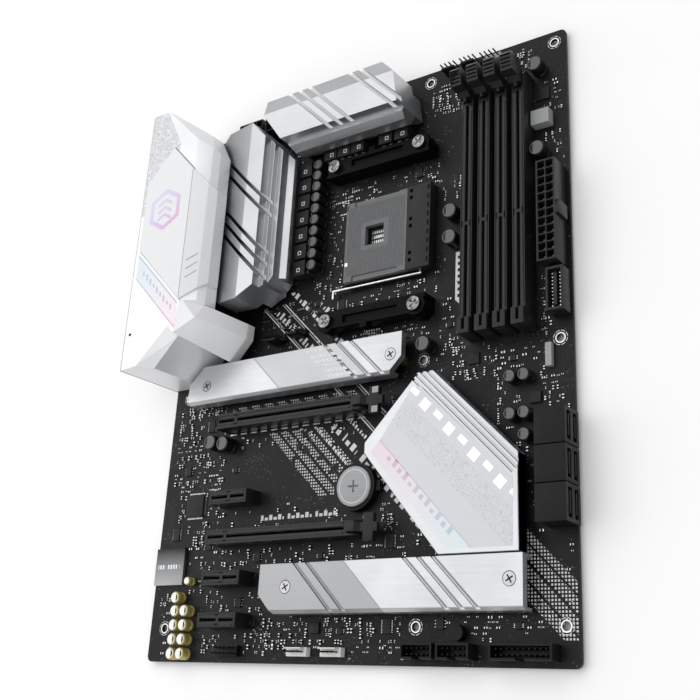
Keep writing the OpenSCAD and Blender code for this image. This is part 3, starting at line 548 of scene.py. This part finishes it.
class Kit:
    """Gathers many small shapes into one mesh, each shape with its own material. Positions are plan mm."""

    def __init__(self):
        self.verts, self.faces, self.slots, self.looks = [], [], [], []

    def add(self, points, faces, look):
        if look not in self.looks:
            self.looks.append(look)
        base, slot = len(self.verts), self.looks.index(look)
        self.verts += [spot(*p) for p in points]
        self.faces += [tuple(base + i for i in f) for f in faces]
        self.slots += [slot] * len(faces)

    def prism(self, outline, z0, z1, look, chamfer=0.0):
        """An upright prism on a plan outline, with its upper edge chamfered."""
        n = len(outline)
        cx = sum(p[0] for p in outline) / n
        cy = sum(p[1] for p in outline) / n
        rings = [[(x, y, z0) for x, y in outline], [(x, y, z1 - chamfer) for x, y in outline]]
        if chamfer:
            shrink = 1 - chamfer / max(math.hypot(x - cx, y - cy) for x, y in outline)
            rings.append([(cx + (x - cx) * shrink, cy + (y - cy) * shrink, z1) for x, y in outline])
        if turns_forward(outline):
            rings = [r[::-1] for r in rings]
        points = [p for ring in rings for p in ring]
        faces = [tuple(range(n))[::-1]]
        for low in range(0, (len(rings) - 1) * n, n):
            faces += [(low + i, low + (i + 1) % n, low + n + (i + 1) % n, low + n + i) for i in range(n)]
        faces.append(tuple((len(rings) - 1) * n + i for i in range(n)))
        self.add(points, faces, look)

    def box(self, x0, x1, y0, y1, z0, z1, look, chamfer=0.0):
        self.prism([(x0, y0), (x1, y0), (x1, y1), (x0, y1)], z0, z1, look, chamfer)

    def pin(self, x, y, half_x, half_y, z0, z1, look, chamfer=0.0):
        """A box centred on a plan point."""
        self.box(x - half_x, x + half_x, y - half_y, y + half_y, z0, z1, look, chamfer)

    def disc(self, x, y, r, z0, z1, look, sides=20):
        turn = 2 * math.pi / sides
        outline = [(x + r * math.cos(i * turn), y + r * math.sin(i * turn)) for i in range(sides)]
        self.prism(outline, z0, z1, look)

    def ring(self, x, y, r0, r1, z0, z1, look, sides=32):
        """A flat ring with square edges."""
        corners = ((r1, z0), (r1, z1), (r0, z1), (r0, z0))
        self.add(*hoop(lambda c, s: [(x + r * c, y - r * s, z) for r, z in corners], sides), look)

    def slab(self, corners, thick, look):
        """A plate on four or more corners (x, y, z) in one plane, thick upwards along z."""
        n = len(corners)
        points = list(corners) + [(x, y, z + thick) for x, y, z in corners]
        order = list(range(n))[::-1] if turns_forward(corners) else list(range(n))
        faces = [tuple(order[::-1]), tuple(n + i for i in order)]
        faces += [(order[i], order[(i + 1) % n], n + order[(i + 1) % n], n + order[i]) for i in range(n)]
        self.add(points, faces, look)

    def build(self, name, body="board"):
        mesh = bpy.data.meshes.new(name)
        mesh.from_pydata([tuple(v) for v in self.verts], [], self.faces)
        for look in self.looks:
            mesh.materials.append(M[look])
        mesh.polygons.foreach_set("material_index", self.slots)
        mesh.update()
        piece = put(name, mesh)
        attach(piece, body)
        return piece


def node_body(node):
    return frame["nodes"][node].parent.name.split(":", 1)[1]


def refined(node, look, width, crisp):
    """A cleaned copy of a CAD node with its edges softened, which stands for that node.

    The panel's highest face is let down by the thickness of the print that lies on it.
    """
    source = frame["nodes"][node]
    bm = bmesh.new()
    bm.from_mesh(source.data)
    bmesh.ops.remove_doubles(bm, verts=bm.verts, dist=1e-6)
    bmesh.ops.dissolve_limit(bm, angle_limit=math.radians(1.0), verts=bm.verts, edges=bm.edges)
    bmesh.ops.recalc_face_normals(bm, faces=bm.faces)
    if node == "io_cover_panel":
        for vertex in bm.verts:
            vertex.co.z = min(vertex.co.z, cad_high[2] - PRINT_T * MM)
    mesh = bpy.data.meshes.new(node + "_fine")
    bm.to_mesh(mesh)
    bm.free()
    mesh.materials.append(M[look])
    piece = put(node + "_fine", mesh)
    soften = piece.modifiers.new("edges", "BEVEL")
    soften.width = width * MM
    soften.segments = 2
    soften.limit_method = "ANGLE"
    soften.angle_limit = math.radians(20)
    soften.use_clamp_overlap = True
    shaped = bpy.data.meshes.new_from_object(piece.evaluated_get(bpy.context.evaluated_depsgraph_get()))
    piece.modifiers.clear()
    piece.data = shaped
    shade_by_angle(shaped, crisp)
    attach(piece, node_body(node))
    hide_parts(node)
    return piece


def shade_by_angle(mesh, degrees):
    """Smooth shading, with edges sharper than the angle kept crisp."""
    mesh.polygons.foreach_set("use_smooth", [True] * len(mesh.polygons))
    bm = bmesh.new()
    bm.from_mesh(mesh)
    for edge in bm.edges:
        edge.smooth = len(edge.link_faces) == 2 and edge.calc_face_angle(0) < math.radians(degrees)
    bm.to_mesh(mesh)
    bm.free()


def dressed(node, look):
    """Keeps a CAD node as it is, with a better material."""
    mesh = frame["nodes"][node].data
    mesh.materials.clear()
    mesh.materials.append(M[look])
    shade_by_angle(mesh, CRISP_KEPT)


# ---- the CAD nodes' looks

# Edges sharper than this many degrees stay crisp; looks with flat facets keep more of theirs.
CRISP, CRISP_FACETS, CRISP_KEPT = 24, 10, 35
FACETED = ("cover", "panel", "sink", "sink_left", "sink_drive")

for look, width, nodes in (
    ("cover", 0.5, "io_cover"), ("panel", 0.3, "io_cover_panel"), ("sink_left", 0.25, "vrm_heatsink_left"),
    ("sink", 0.25, "vrm_heatsink_top"), ("package", 0.3, "chokes"), ("black", 0.2, "eps_connectors"),
    ("slot_black", 0.2, "socket_base"), ("bracket", 0.4, "cooler_brackets"),
    ("slot_black", 0.15, "dimm_slot_1 dimm_slot_2 dimm_slot_3 dimm_slot_4"),
    ("slot_black", 0.2, "dimm_latch_1 dimm_latch_2 dimm_latch_3 dimm_latch_4"),
    ("slot_black", 0.15, "pcie_slot_1 pcie_slot_2 pcie_x1_slots"),
    ("slot_black", 0.2, "pcie_latch_1 pcie_latch_2"), ("sink_drive", 0.3, "m2_heatsink_1 m2_heatsink_2"),
    ("sink", 0.3, "chipset_heatsink"), ("slot_black", 0.2, "power_connector usb3_header"),
    ("black", 0.2, "sata_ports"), ("black", 0.12, "fan_headers"), ("shield", 0.2, "audio_shield"),
    ("black", 0.2, "battery_holder"), ("package", 0.15, "controllers"), ("package", 0.1, "mosfets"),
    ("dark_steel", 0.2, "cooler_backplate"), ("steel", 0.15, "usb_ports lan_port display_ports"),
    ("black", 0.2, "audio_jacks button_housing"),
):
    for node in nodes.split():
        refined(node, look, width, CRISP_FACETS if look in FACETED else CRISP)

for look, nodes in (
    ("rear_plate", "io_shield"), ("pins", "socket_cover"), ("bright", "flashback_button"),
    ("pad", "vrm_pads"), ("can_black", "vrm_capacitors board_capacitors"), ("can_gold", "audio_capacitors"),
    ("bright", "socket_lever"), ("chrome", "bracket_screws"), ("slot_black", "pcie_armour"),
    ("steel", "m2_screws_1 m2_screws_2"), ("pad", "m2_pad_1 m2_pad_2"), ("black", "m2_sockets"),
    ("brass", "m2_standoffs"), ("green", "chipset_die"), ("dark_steel", "heatsink_screws"),
    ("black", "pin_headers"), ("cell", "coin_cell"), ("grey_core", "inductors"), ("mask", "pcb"),
):
    for node in nodes.split():
        dressed(node, look)

# The board's underside and the buzzer at its lower edge have a second look.
pcb = frame["nodes"]["pcb"].data
pcb.materials.append(M["mask_under"])
for face in pcb.polygons:
    face.material_index = 1 if face.normal.z < -0.5 else 0

small = frame["nodes"]["inductors"].data
small.materials.append(M["black"])
for face in small.polygons:
    face.material_index = 1 if DATUM_Y - face.center.y / MM > 280 else 0

# ---- what may not be covered


class Footprints:
    """Which square millimetres of the board the CAD pieces stand on, a margin round each face included."""

    # Only faces that reach between these heights above the board count.
    MARGIN, LOWEST, HIGHEST = 0.6, -0.5, 1.6

    def __init__(self, skip):
        self.taken = np.zeros((int(BOARD_L) + 2, int(BOARD_W) + 2), bool)
        for name, obj in frame["nodes"].items():
            if name in skip:
                continue
            mesh = obj.data
            co = np.array([v.co for v in mesh.vertices])
            x = co[:, 0] / MM + DATUM_X
            y = DATUM_Y - co[:, 1] / MM
            z = co[:, 2] / MM - BOARD_T
            for poly in mesh.polygons:
                ids = list(poly.vertices)
                if z[ids].min() <= self.HIGHEST and z[ids].max() >= self.LOWEST:
                    self.claim(x[ids].min(), x[ids].max(), y[ids].min(), y[ids].max(), self.MARGIN)

    def claim(self, x0, x1, y0, y1, margin=0.0):
        rows = slice(max(int(y0 - margin), 0), int(y1 + margin) + 1)
        self.taken[rows, max(int(x0 - margin), 0):int(x1 + margin) + 1] = True

    def free(self, x0, x1, y0, y1):
        if x0 < 2 or y0 < 2 or x1 > BOARD_W - 2 or y1 > BOARD_L - 2:
            return False
        return not self.taken[int(y0):int(y1) + 1, int(x0):int(x1) + 1].any()


ground = Footprints(skip={"pcb", "io_shield", "cooler_backplate", "heatsink_screws", "bracket_screws"})
FIXING_HOLES = [(DATUM_X, DATUM_Y), (165.1, DATUM_Y), (237.49, DATUM_Y)]
FIXING_HOLES += [(x, y) for y in (163.83, 288.29) for x in (10.16, 165.1, 237.49)]
COOLER_HOLES = [(x, y) for x in (111.65, 165.65) for y in (48.04, 138.04)]
for holes, clear in ((FIXING_HOLES, 5), (COOLER_HOLES, 6)):
    for x, y in holes:
        ground.claim(x, x, y, y, clear)

rng = random.Random(7)

# ---- small surface parts


def chip_part(kit, x, y, length, width, height, upright, look):
    """A two-terminal part: a body between two tinned ends."""
    middle, side = (y, x) if upright else (x, y)
    start, stop, end = middle - length / 2, middle + length / 2, length * 0.24
    across = (side - width / 2, side + width / 2)
    for low, high, top, skin in ((start + end, stop - end, height * 0.94, look),
                                 (start, start + end, height, "tin"), (stop - end, stop, height, "tin")):
        sides = (*across, low, high) if upright else (low, high, *across)
        kit.box(*sides, 0, top, skin)


def leaded_chip(kit, x, y, w, l, height, pitch):
    """A small package with gull-wing legs on two sides."""
    kit.pin(x, y, w / 2, l / 2, 0.1, height, "package", 0.12)
    rows = int((l - 0.6) / pitch)
    for i in range(rows):
        ly = y - (rows - 1) * pitch / 2 + i * pitch
        for s in (-1, 1):
            x0 = x + s * w / 2
            kit.box(min(x0, x0 + s * 0.8), max(x0, x0 + s * 0.8), ly - 0.12, ly + 0.12, 0, 0.3, "tin")


# Patches of small parts: x0, x1, y0, y1 and how full each is.
PATCHES = (
    (167, 189, 11, 29, 0.85), (186, 226, 10, 24, 0.35), (206, 226, 4, 12, 0.5), (228, 242, 28, 45, 0.5),
    (226, 232, 70, 160, 0.55), (232, 243, 55, 78, 0.3), (227, 236, 130, 162, 0.4),
    (176, 190, 134, 160, 0.4), (95, 118, 60, 116, 0.32), (100, 172, 55, 69, 0.3), (172, 186, 60, 84, 0.15),
    (108, 172, 118, 131, 0.35), (172, 190, 112, 134, 0.12), (60, 104, 118, 150, 0.3),
    (100, 165, 144, 151, 0.45), (162, 182, 150, 172, 0.5), (182, 206, 160, 178, 0.55),
    (206, 232, 166, 214, 0.42), (226, 243, 178, 198, 0.5), (6, 42, 172, 214, 0.5), (12, 20, 214, 240, 0.5),
    (30, 42, 214, 247, 0.5), (20, 42, 236, 272, 0.45), (40, 132, 188, 196, 0.22), (44, 132, 228, 238, 0.1),
    (46, 132, 250, 260, 0.3), (134, 152, 232, 262, 0.45), (118, 128, 212, 236, 0.35),
    (60, 82, 262, 292, 0.3), (38, 60, 270, 300, 0.35), (66, 104, 283, 300, 0.4), (100, 160, 284, 297, 0.5),
    (168, 236, 284, 295, 0.5), (140, 160, 180, 204, 0.45), (128, 160, 296, 303, 0.3),
    (218, 240, 212, 250, 0.25), (4, 24, 268, 302, 0.3), (224, 243, 250, 286, 0.12), (70, 98, 16, 40, 0.25),
    (8, 36, 160, 172, 0.3), (148, 176, 208, 256, 0.2),
)


def scatter_parts():
    """Rows of two-terminal parts in the patches, wherever nothing else stands."""
    kit = Kit()
    for x0, x1, y0, y1, fullness in PATCHES:
        upright = rng.random() < 0.5
        y = y0
        while y < y1:
            x = x0
            if rng.random() < 0.35:
                upright = not upright
            while x < x1:
                length = rng.choice((1.0, 1.0, 1.0, 1.6, 1.6, 2.0))
                width, height = length * 0.5, length * rng.uniform(0.3, 0.5)
                a, b = (width, length) if upright else (length, width)
                cx, cy = x + a / 2, y + b / 2 + (0.0 if rng.random() < 0.8 else 0.3)
                room = (cx - a / 2 - 0.1, cx + a / 2 + 0.1, cy - b / 2 - 0.1, cy + b / 2 + 0.1)
                if rng.random() < fullness and ground.free(*room):
                    look = rng.choice(("package", "package", "tan", "deep"))
                    chip_part(kit, cx, cy, length, width, height, upright, look)
                x += a + rng.choice((0.7, 0.9, 1.4, 3.0))
            y += rng.choice((2.2, 2.4, 2.9))
    piece = kit.build("small_surface_parts")


def small_chips():
    """Small leaded packages where there's room for them, and the legs of the two large controllers."""
    kit = Kit()
    places = (
        (76, 188), (92, 200), (140, 66), (220, 34), (50, 208), (36, 246), (60, 276), (124, 290), (150, 288),
        (178, 287), (216, 288), (150, 250), (150, 196), (180, 148), (30, 182), (16, 206), (214, 170),
        (114, 126), (160, 60), (98, 122), (226, 184), (70, 254), (110, 255), (12, 240),
    )
    for i, (x, y) in enumerate(places):
        w, l = ((3.9, 4.9), (3, 3), (4.4, 6.5))[i % 3]
        room = (x - w / 2 - 1, x + w / 2 + 1, y - l / 2 - 1, y + l / 2 + 1)
        if ground.free(*room):
            leaded_chip(kit, x, y, w, l, 1.0, 0.65 if i % 3 else 1.27)
            ground.claim(*room)
    for x0, x1, y0, y1 in ((18, 30, 219.4, 231.4), (4, 13, 251, 260)):
        for i in range(int((x1 - x0 - 1) / 0.5)):
            along = 0.75 + i * 0.5
            for x in (x0 - 1.0, x1):
                kit.box(x, x + 1.0, y0 + along - 0.11, y0 + along + 0.11, 0, 0.35, "tin")
            for y in (y0 - 1.0, y1):
                kit.box(x0 + along - 0.11, x0 + along + 0.11, y, y + 1.0, 0, 0.35, "tin")
    kit.build("leaded_chips")


def hole_rings():
    """The bare tinned ring round each fixing hole, with its ring of small vias."""
    kit = Kit()
    for x, y in FIXING_HOLES:
        kit.ring(x, y, 2.0, 2.55, 0.0, 0.04, "tin")
        for i in range(8):
            a, b = 2 * math.pi * (i + 0.12) / 8, 2 * math.pi * (i + 0.88) / 8
            corners = ((3.3, a), (3.3, (a + b) / 2), (3.3, b), (3.6, b), (3.6, (a + b) / 2), (3.6, a))
            kit.prism([(x + r * math.cos(t), y + r * math.sin(t)) for r, t in corners], 0.0, 0.04, "steel")
    kit.build("hole_rings")


def card_contacts(step):
    """Plan points along the middle line of every card slot."""
    for y, length in CARD_ROWS:
        for x in np.arange(CARD_FIRST, CARD_REAR + length - 2, step):
            yield x, y


def slot_contacts():
    """The sprung contacts that show along each side of every card and memory groove."""
    kit = Kit()
    for x in MEMORY_ROWS:
        for y in np.arange(*MEMORY_GROOVE, 0.85):
            if abs(y - MEMORY_KEY) > 1.6:
                for s in (-1, 1):
                    kit.pin(x + s * 0.62, y, 0.1, 0.15, 5.2, 11.2, "dark_steel")
                    kit.pin(x + s * 1.9, y, 0.55, 0.2, 12.0, 12.06, "tooth")
    for x, y in card_contacts(1.0):
        if abs(x - CARD_KEY) > 1.4:
            for s in (-1, 1):
                kit.pin(x, y + s * 0.66, 0.18, 0.1, 3.2, 10.4, "dark_steel")
                kit.pin(x, y + s * 2.1, 0.24, 0.6, 11.2, 11.26, "tooth")
    kit.build("slot_contacts")


def armour_tabs():
    """Soldered tabs of the upper card slot's frame, along both its sides."""
    kit = Kit()
    for x in range(44, 130, 7):
        kit.box(x, x + 4.2, 188.1, 188.8, 0, 0.12, "tin")
        kit.box(x + 2, x + 5, 178.4, 178.9, 0, 0.12, "tin")
    kit.build("armour_tabs")


def connector_pins():
    """Blades and pins standing in the power, data and front-panel connectors."""
    kit = Kit()
    for x0, y0, columns, rows in ((233, 79.6, 2, 12), (40, 2.6, 4, 2), (60.1, 2.6, 2, 2)):
        for c in range(columns):
            for r in range(rows):
                x, y = x0 + c * POWER_PITCH, y0 + r * POWER_PITCH
                kit.box(x + 1.6, x + 2.6, y + 1.6, y + 2.6, 3, 10, "dark_steel")
    for r in range(10):
        for x in (237.0, 240.8):
            kit.box(x - 0.25, x + 0.25, 134.9 + r * 1.75, 135.4 + r * 1.75, 2, 6.5, "tin")
    kit.build("connector_pins")


def socket_window():
    """The small parts in the socket's window and the bright mark at its first corner."""
    kit = Kit()
    kit.box(132, 142.6, 87.4, 97.6, 1, 2.0, "green")
    for r in range(3):
        for c in range(7):
            kit.pin(133.4 + c * 1.3, 89.4 + r * 2.8, 0.35, 0.8, 2.0, 2.7, "tin")
    kit.box(119.2, 121, 105.6, 107.6, 7.0, 7.06, "tin")
    # Dark marks along the socket's front side.
    for y in range(72, 115, 5):
        kit.box(169.2, 170.4, y, y + 2.6, 7.0, 7.1, "deep")
    kit.build("socket_window")


def square_mark(kit, x, y, side=2.2, line=0.35):
    """A plain square outline printed on top of a choke."""
    for offset in (0, side - line):
        for sides in ((x + offset, x + offset + line, y, y + side),
                      (x + line, x + side - line, y + offset, y + offset + line)):
            kit.box(*sides, CHOKE_TOP, CHOKE_TOP + 0.05, "print_white")


def choke_terminals():
    """Tinned side terminals and the pair of pins beside each power-stage choke."""
    kit = Kit()
    for i in range(7):
        y = 42.3 + i * 10
        for dy in (-2.3, 2.3):
            kit.box(93.0, 93.5, y + dy - 1.0, y + dy + 1.0, 0, 5.5, "tin")
        square_mark(kit, 87.6, y)
    for x in (105.5, 114.6, 123.7, 142, 152):
        for dx in (-2.3, 2.3):
            kit.box(x + dx - 1.0, x + dx + 1.0, 40.4, 40.9, 0, 5.5, "tin")
        square_mark(kit, x, 36.6)
    kit.build("choke_terminals")


def cap_scores():
    """The pressed score lines on every can's top."""
    kit = Kit()
    large = [(229.8, 20.6), (230.4, 68.4), (182.6, 90.2), (182.6, 104.5), (169, 158), (36, 193), (45, 194.5)]
    medium = [(215, 180.5), (222, 180.5), (215, 198), (222, 198), (222, 208)]
    black_arc, gold_arc = (2.2, 2.7, 3.2, 3.7, 4.2), (-1.1, -0.55, 0, 0.55, 1.1)
    for places, r, z, arc, look in (
        (large, 3.1, 8, black_arc, "package"), (medium, 2.3, 7, black_arc, "package"),
        (STAGE_CANS, 2.3, 9, black_arc, "package"), (AUDIO_CANS, 2.1, 5.8, gold_arc, "charcoal"),
    ):
        for x, y in places:
            kit.prism([(x + r * math.cos(a), y + r * math.sin(a)) for a in arc], z, z + 0.03, look)
    kit.build("can_scores")


def cover_marks():
    """A plain hexagonal emblem, an edge line, a tinted strip with plain bars, and three fine rules."""
    kit = Kit()
    z, line_z = PANEL_TOP - PRINT_T, COVER_TOP + 0.06
    cx, cy, r = 19.5, 66.0, 13.0
    turns = [math.pi * (i / 3 + 1 / 6) for i in range(6)]
    corners = [(cx + r * math.cos(turn), cy + r * math.sin(turn)) for turn in turns]
    inner = [(cx + (x - cx) * 0.78, cy + (y - cy) * 0.78) for x, y in corners]
    for i in range(6):
        j = (i + 1) % 6
        kit.prism([corners[i], corners[j], inner[j], inner[i]], z, z + 0.05, "emblem")
    chevron = ((-5, 0.8), (0, -2.2), (5, 0.8), (5, 2.6), (0, -0.4), (-5, 2.6))
    for y in (cy + 4.5, cy, cy - 4.5):
        kit.prism([(cx + dx, y + dy) for dx, dy in chevron], z, z + 0.05, "emblem")
    outline = [(20.9, 26.3), (38.6, 44.6), (38.6, 45.4), (21.0, 27.2), (3.3, 46.2), (3.3, 87.8),
               (38.4, 123.0), (38.4, 124.3), (2.5, 88.4), (2.5, 45.7)]
    for picked in ((0, 1, 2, 3), (0, 3, 4, 9), (9, 4, 5, 8), (8, 5, 6, 7)):
        kit.prism([outline[i] for i in picked], COVER_TOP, line_z, "sink_shade")
    kit.prism([(38.0, 45.3), (38.3, 45.6), (38.3, 123.0), (38.0, 122.7)], z, z + 0.04, "sink_shade")
    strip = [(2.2, 91), (36.6, 125.4), (36.6, 139.2), (2.2, 104.8)]
    kit.prism(strip, COVER_TOP, line_z, "strip")
    for (ax, ay), (bx, by) in ((strip[3], strip[2]), (strip[0], strip[1])):
        kit.prism([(ax, ay - 0.5), (bx, by - 0.5), (bx, by + 0.3), (ax, ay + 0.3)], line_z, line_z + 0.04,
                  "strip_line")
    for i, tall in enumerate((2.6, 3.6, 3.6, 2.0, 3.6, 2.6, 3.6, 2.0, 3.0)):
        x, y, half = 7.5 + i * 3.0, 102.2 + i * 3.0, tall / 2
        kit.prism([(x, y - half), (x + 1.1, y + 1.1 - half), (x + 1.1, y + 1.1 + half), (x, y + half)],
                  line_z, line_z + 0.04, "strip_line")
    kit.disc(3.2, 138, 0.8, COVER_TOP, COVER_TOP + 0.05, "deep")
    for k in range(3):
        y = 101 + k * 5
        x0, x1 = 40.0 + k * 0.2, 45.4
        z0, z1 = (PANEL_TOP - (x - 38.3) * 0.6 + 0.02 for x in (x0, x1))
        kit.slab([(x0, y, z0), (x1, y - 4.2, z1), (x1, y - 3.8, z1), (x0, y + 0.4, z0)], 0.05, "sink_shade")
    kit.build("cover_marks")


def sink_marks():
    """Shaded bands printed beside the diagonal grooves of the drive heatsinks."""
    for name, body, top, low, rows, grooves, screws in (
        ("drive_print_1", "drive_cover_1", 151.5, 170.2, ((66, 28, 0), (98, 17, 1)), (123.5, 131.5, 139.5),
         ((33.7, 162.4), (153.7, 162.4))),
        ("drive_print_2", "drive_cover_2", 259.8, 281.4, ((132, 6, 0),), (115, 122.5, 177, 184.5, 192),
         ((98.7, 270.7), (217.6, 270.2))),
    ):
        kit = Kit()
        lean = low - top
        for x in grooves:
            kit.prism([(x - lean / 2 - 1.1, top), (x - lean / 2 + 1.1, top), (x + lean / 2 + 1.1, low),
                       (x + lean / 2 - 1.1, low)], 10.82, 10.86, "sink_shade")
        for x, wide, dense in rows:
            if not dense:
                kit.prism([(x, top), (x + 0.5, top), (x + 0.5 + lean, low), (x + lean, low)],
                          SINK_TOP, SINK_TOP + 0.03, "sink_shade")
                continue
            for j in range(6):
                y = top + 1.6 + j * 2.9
                bx = x + 1.5 + (y - top)
                while bx < x + wide + (y - top):
                    long = rng.choice((0.9, 1.6, 2.6))
                    tall = 1.7 if j % 3 else 0.8
                    kit.prism([(bx, y), (bx + long, y), (bx + long + tall, y + tall), (bx + tall, y + tall)],
                              SINK_TOP, SINK_TOP + 0.03, "print_white")
                    bx += long + 0.7
        # Painted shade: a dark ring in the gap round each screw head and a dark cross in its recess.
        for sx, sy in screws:
            kit.ring(sx, sy, 2.8, 3.12, 11.7, 11.98, "deep")
            for turn in (30, 120):
                c, n = math.cos(math.radians(turn)), math.sin(math.radians(turn))
                kit.prism([(sx + u * c + v * n, sy - u * n + v * c) for u, v in
                           ((-1.9, -0.3), (1.9, -0.3), (1.9, 0.3), (-1.9, 0.3))], 11.32, 11.36, "deep")
        kit.build(name, body)


def chipset_dress():
    """The printed plate set on the chipset heatsink, its tinted strip and edge line."""
    kit = Kit()
    z, line_z = SINK_TOP, SINK_TOP + 0.06
    plate = [(167.0, 181.0), (171.6, 181.0), (219.4, 227.6), (219.4, 256.8), (199.5, 256.8), (150.0, 204.5)]
    kit.prism(plate, z, line_z, "chip_print")
    strip = [(150.0, 204.5), (199.5, 256.8), (187.2, 256.8), (144.6, 210.2)]
    kit.prism(strip, z, line_z, "chip_strip")
    kit.prism([(149.9, 204.4), (199.6, 256.9), (198.9, 256.9), (149.5, 204.8)], line_z, z + 0.1, "chip_line")
    for i in range(12):
        t = 0.12 + i * 0.065
        x, y = 148.4 + t * 46, 208.0 + t * 49.5
        rise = (1.8, 3.4, 2.4, 3.4)[i % 4] * 0.7
        kit.prism([(x, y), (x + 1.5, y + 1.6), (x + 1.5 + rise, y + 1.6 - rise), (x + rise, y - rise)],
                  line_z, z + 0.1, "chip_line")
    kit.box(221.9, 222.0, 217.2, 258.9, 4.3, 11.4, "deep")
    kit.build("chipset_print")


def cell_mark():
    """A plain plus sign and a turned ring on the coin cell."""
    kit = Kit()
    x, y, z = 131, 223.8, 5.6
    kit.ring(x, y, 7.9, 8.2, z, z + 0.03, "steel", 48)
    kit.pin(x, y, 3, 0.45, z, z + 0.04, "dark_steel")
    for y0, y1 in ((y - 3, y - 0.45), (y + 0.45, y + 3)):
        kit.box(x - 0.45, x + 0.45, y0, y1, z, z + 0.04, "dark_steel")
    kit.build("cell_mark", "cell")


def underside():
    """Solder tails under the leaded parts, and a few small parts between them."""
    kit = Kit()

    def tail(x, y, r=0.45):
        kit.disc(x, y, r * 1.6, -1.62, -1.6, "tin", 10)
        kit.disc(x, y, r, -2.3, -1.62, "tin", 8)

    for x in MEMORY_ROWS:
        for y in np.arange(*MEMORY_GROOVE, 1.7):
            for s in (-1, 1):
                tail(x + s * 1.4, y + (s + 1) * 0.42, 0.28)
    for x, y in card_contacts(2.0):
        for s in (-1, 1):
            tail(x, y + s * 1.6, 0.28)
    for c in range(2):
        for r in range(12):
            tail(235.1 + c * POWER_PITCH, 81.7 + r * POWER_PITCH, 0.6)
    for x, y in STAGE_CANS:
        tail(x - 1.6, y)
        tail(x + 1.6, y)
    for y0, y1 in (*(sides for sides, _, _ in PORT_STACKS), *OTHER_PORTS):
        for y in np.arange(y0 + 2, y1 - 1, 2.4):
            for x in (5.0, 8.6, 14.0):
                tail(x, y, 0.36)
    under_rng = random.Random(11)
    for _ in range(420):
        x, y = under_rng.uniform(8, 232), under_rng.uniform(12, 296)
        if 100 < x < 178 and 36 < y < 150:
            continue
        w, l = under_rng.choice(((0.5, 1.0), (1.0, 0.5), (0.8, 1.6), (1.6, 0.8)))
        kit.pin(x, y, w / 2, l / 2, -2.0, -1.6, under_rng.choice(("tan", "package", "tin")))
    kit.build("solder_tails")


def port_fronts():
    """Coloured tongues and contact rows inside the rear ports."""
    kit = Kit()
    for (y0, y1), height, decks in PORT_STACKS:
        for d in range(decks):
            floor = d * (height / decks)
            kit.box(-1.35, 8.9, y0 + 2.05, y1 - 2.05, floor + 5.0, floor + 5.25, "blue_tongue")
            for c in range(4):
                y = y0 + 3.6 + c * (y1 - y0 - 7.2) / 3
                kit.box(0.2, 6, y - 0.4, y + 0.4, floor + 2.95, floor + 3.2, "gold")
    # A coloured collar round each audio jack, flush with the jack's face.
    corners = ((-1.99, 3.4), (-2.0, 3.4), (-2.0, 1.9), (-1.99, 1.9))
    for i, colour in enumerate(("blue_tongue", "green", "tan")):
        for y in (133, 147.5):
            z = 6 + i * 11
            kit.add(*hoop(lambda c, s: [(x, y + r * c, z + r * s) for x, r in corners], 24), colour)
    kit.build("port_fronts")


def latch_inserts():
    """Light inserts on the upper card latch."""
    kit = Kit()
    for y in (177.3, 187.0):
        kit.box(142.0, 146.9, y, y + 3.1, 10.9, 11.2, "grey_core")
    kit.build("latch_inserts", "card_latch_1")


def header_shells():
    """White shells of the two lighting headers on the lower edge and the pale one on the top edge."""
    kit = Kit()
    for x in (95, 115):
        kit.box(x - 0.05, x + 12.05, 297.35, 301.45, 0, 3.1, "white_nylon", 0.2)
        kit.box(x + 1, x + 11, 297.6, 298.2, 3.1, 6.5, "white_nylon")
    kit.box(198.75, 208.95, 3.35, 6.45, 0, 3.3, "grey_core", 0.2)
    kit.build("header_shells")


for draw in (
    small_chips, scatter_parts, hole_rings, slot_contacts, armour_tabs, connector_pins, socket_window,
    choke_terminals, cap_scores, cover_marks, sink_marks, chipset_dress, cell_mark, underside, port_fronts,
    latch_inserts, header_shells,
):
    draw()

# ---- the stage


def stage():
    mesh = bpy.data.meshes.new("floor")
    z, r = cad_low[2] - 0.0002, 6.0
    mesh.from_pydata([(-r, -r, z), (r, -r, z), (r, r, z), (-r, r, z)], [], [(0, 1, 2, 3)])
    floor = put("floor", mesh)
    white = Look("floor_white")
    white.bump(white.noise(0.4, 2), 0.02, 0.02)
    tone = white.mix(white.noise(0.01, 2), (0.93, 0.93, 0.93), (0.96, 0.96, 0.96))
    mesh.materials.append(white.surface(tone, 0.9))


def area_light(name, at, target, size, power):
    data = bpy.data.lights.new(name, "AREA")
    data.shape = "RECTANGLE"
    data.size, data.size_y = size
    data.energy = power
    lamp = put(name, data)
    lamp.location = at
    lamp.rotation_euler = (Vector(target) - Vector(at)).to_track_quat("-Z", "Y").to_euler()


stage()
middle = (0.09, -0.145, 0)
area_light("soft_top", (-0.15, 0.35, 1.3), middle, (2.0, 2.0), 12)
area_light("side_left", (-0.9, -0.2, 0.6), middle, (0.8, 0.8), 2.0)
area_light("front_low", (0.5, -1.0, 0.7), middle, (0.9, 0.5), 1.2)

world = bpy.data.worlds.new("studio")
bpy.context.scene.world = world
world.use_nodes = True
world.node_tree.nodes["Background"].inputs["Color"].default_value = (1, 1, 1, 1)
world.node_tree.nodes["Background"].inputs["Strength"].default_value = 0.62
bpy.context.scene.view_settings.view_transform = "Standard"

# The camera stands over the front lower corner, rolled so that the board's top edge points up and right.
camera_data = bpy.data.cameras.new("camera")
camera = put("camera", camera_data)
camera_at = Vector((0.3886, -0.3172, 0.4083))
looks_at = Vector((0.1028, -0.1269, 0.002))
aim = (looks_at - camera_at).to_track_quat("-Z", "Y").to_matrix().to_4x4()
camera.matrix_world = Matrix.Translation(camera_at) @ aim @ Matrix.Rotation(math.radians(-60.38), 4, "Z")
camera_data.lens = 53.5
camera_data.shift_x = -0.0367
camera_data.shift_y = -0.055
bpy.context.scene.camera = camera
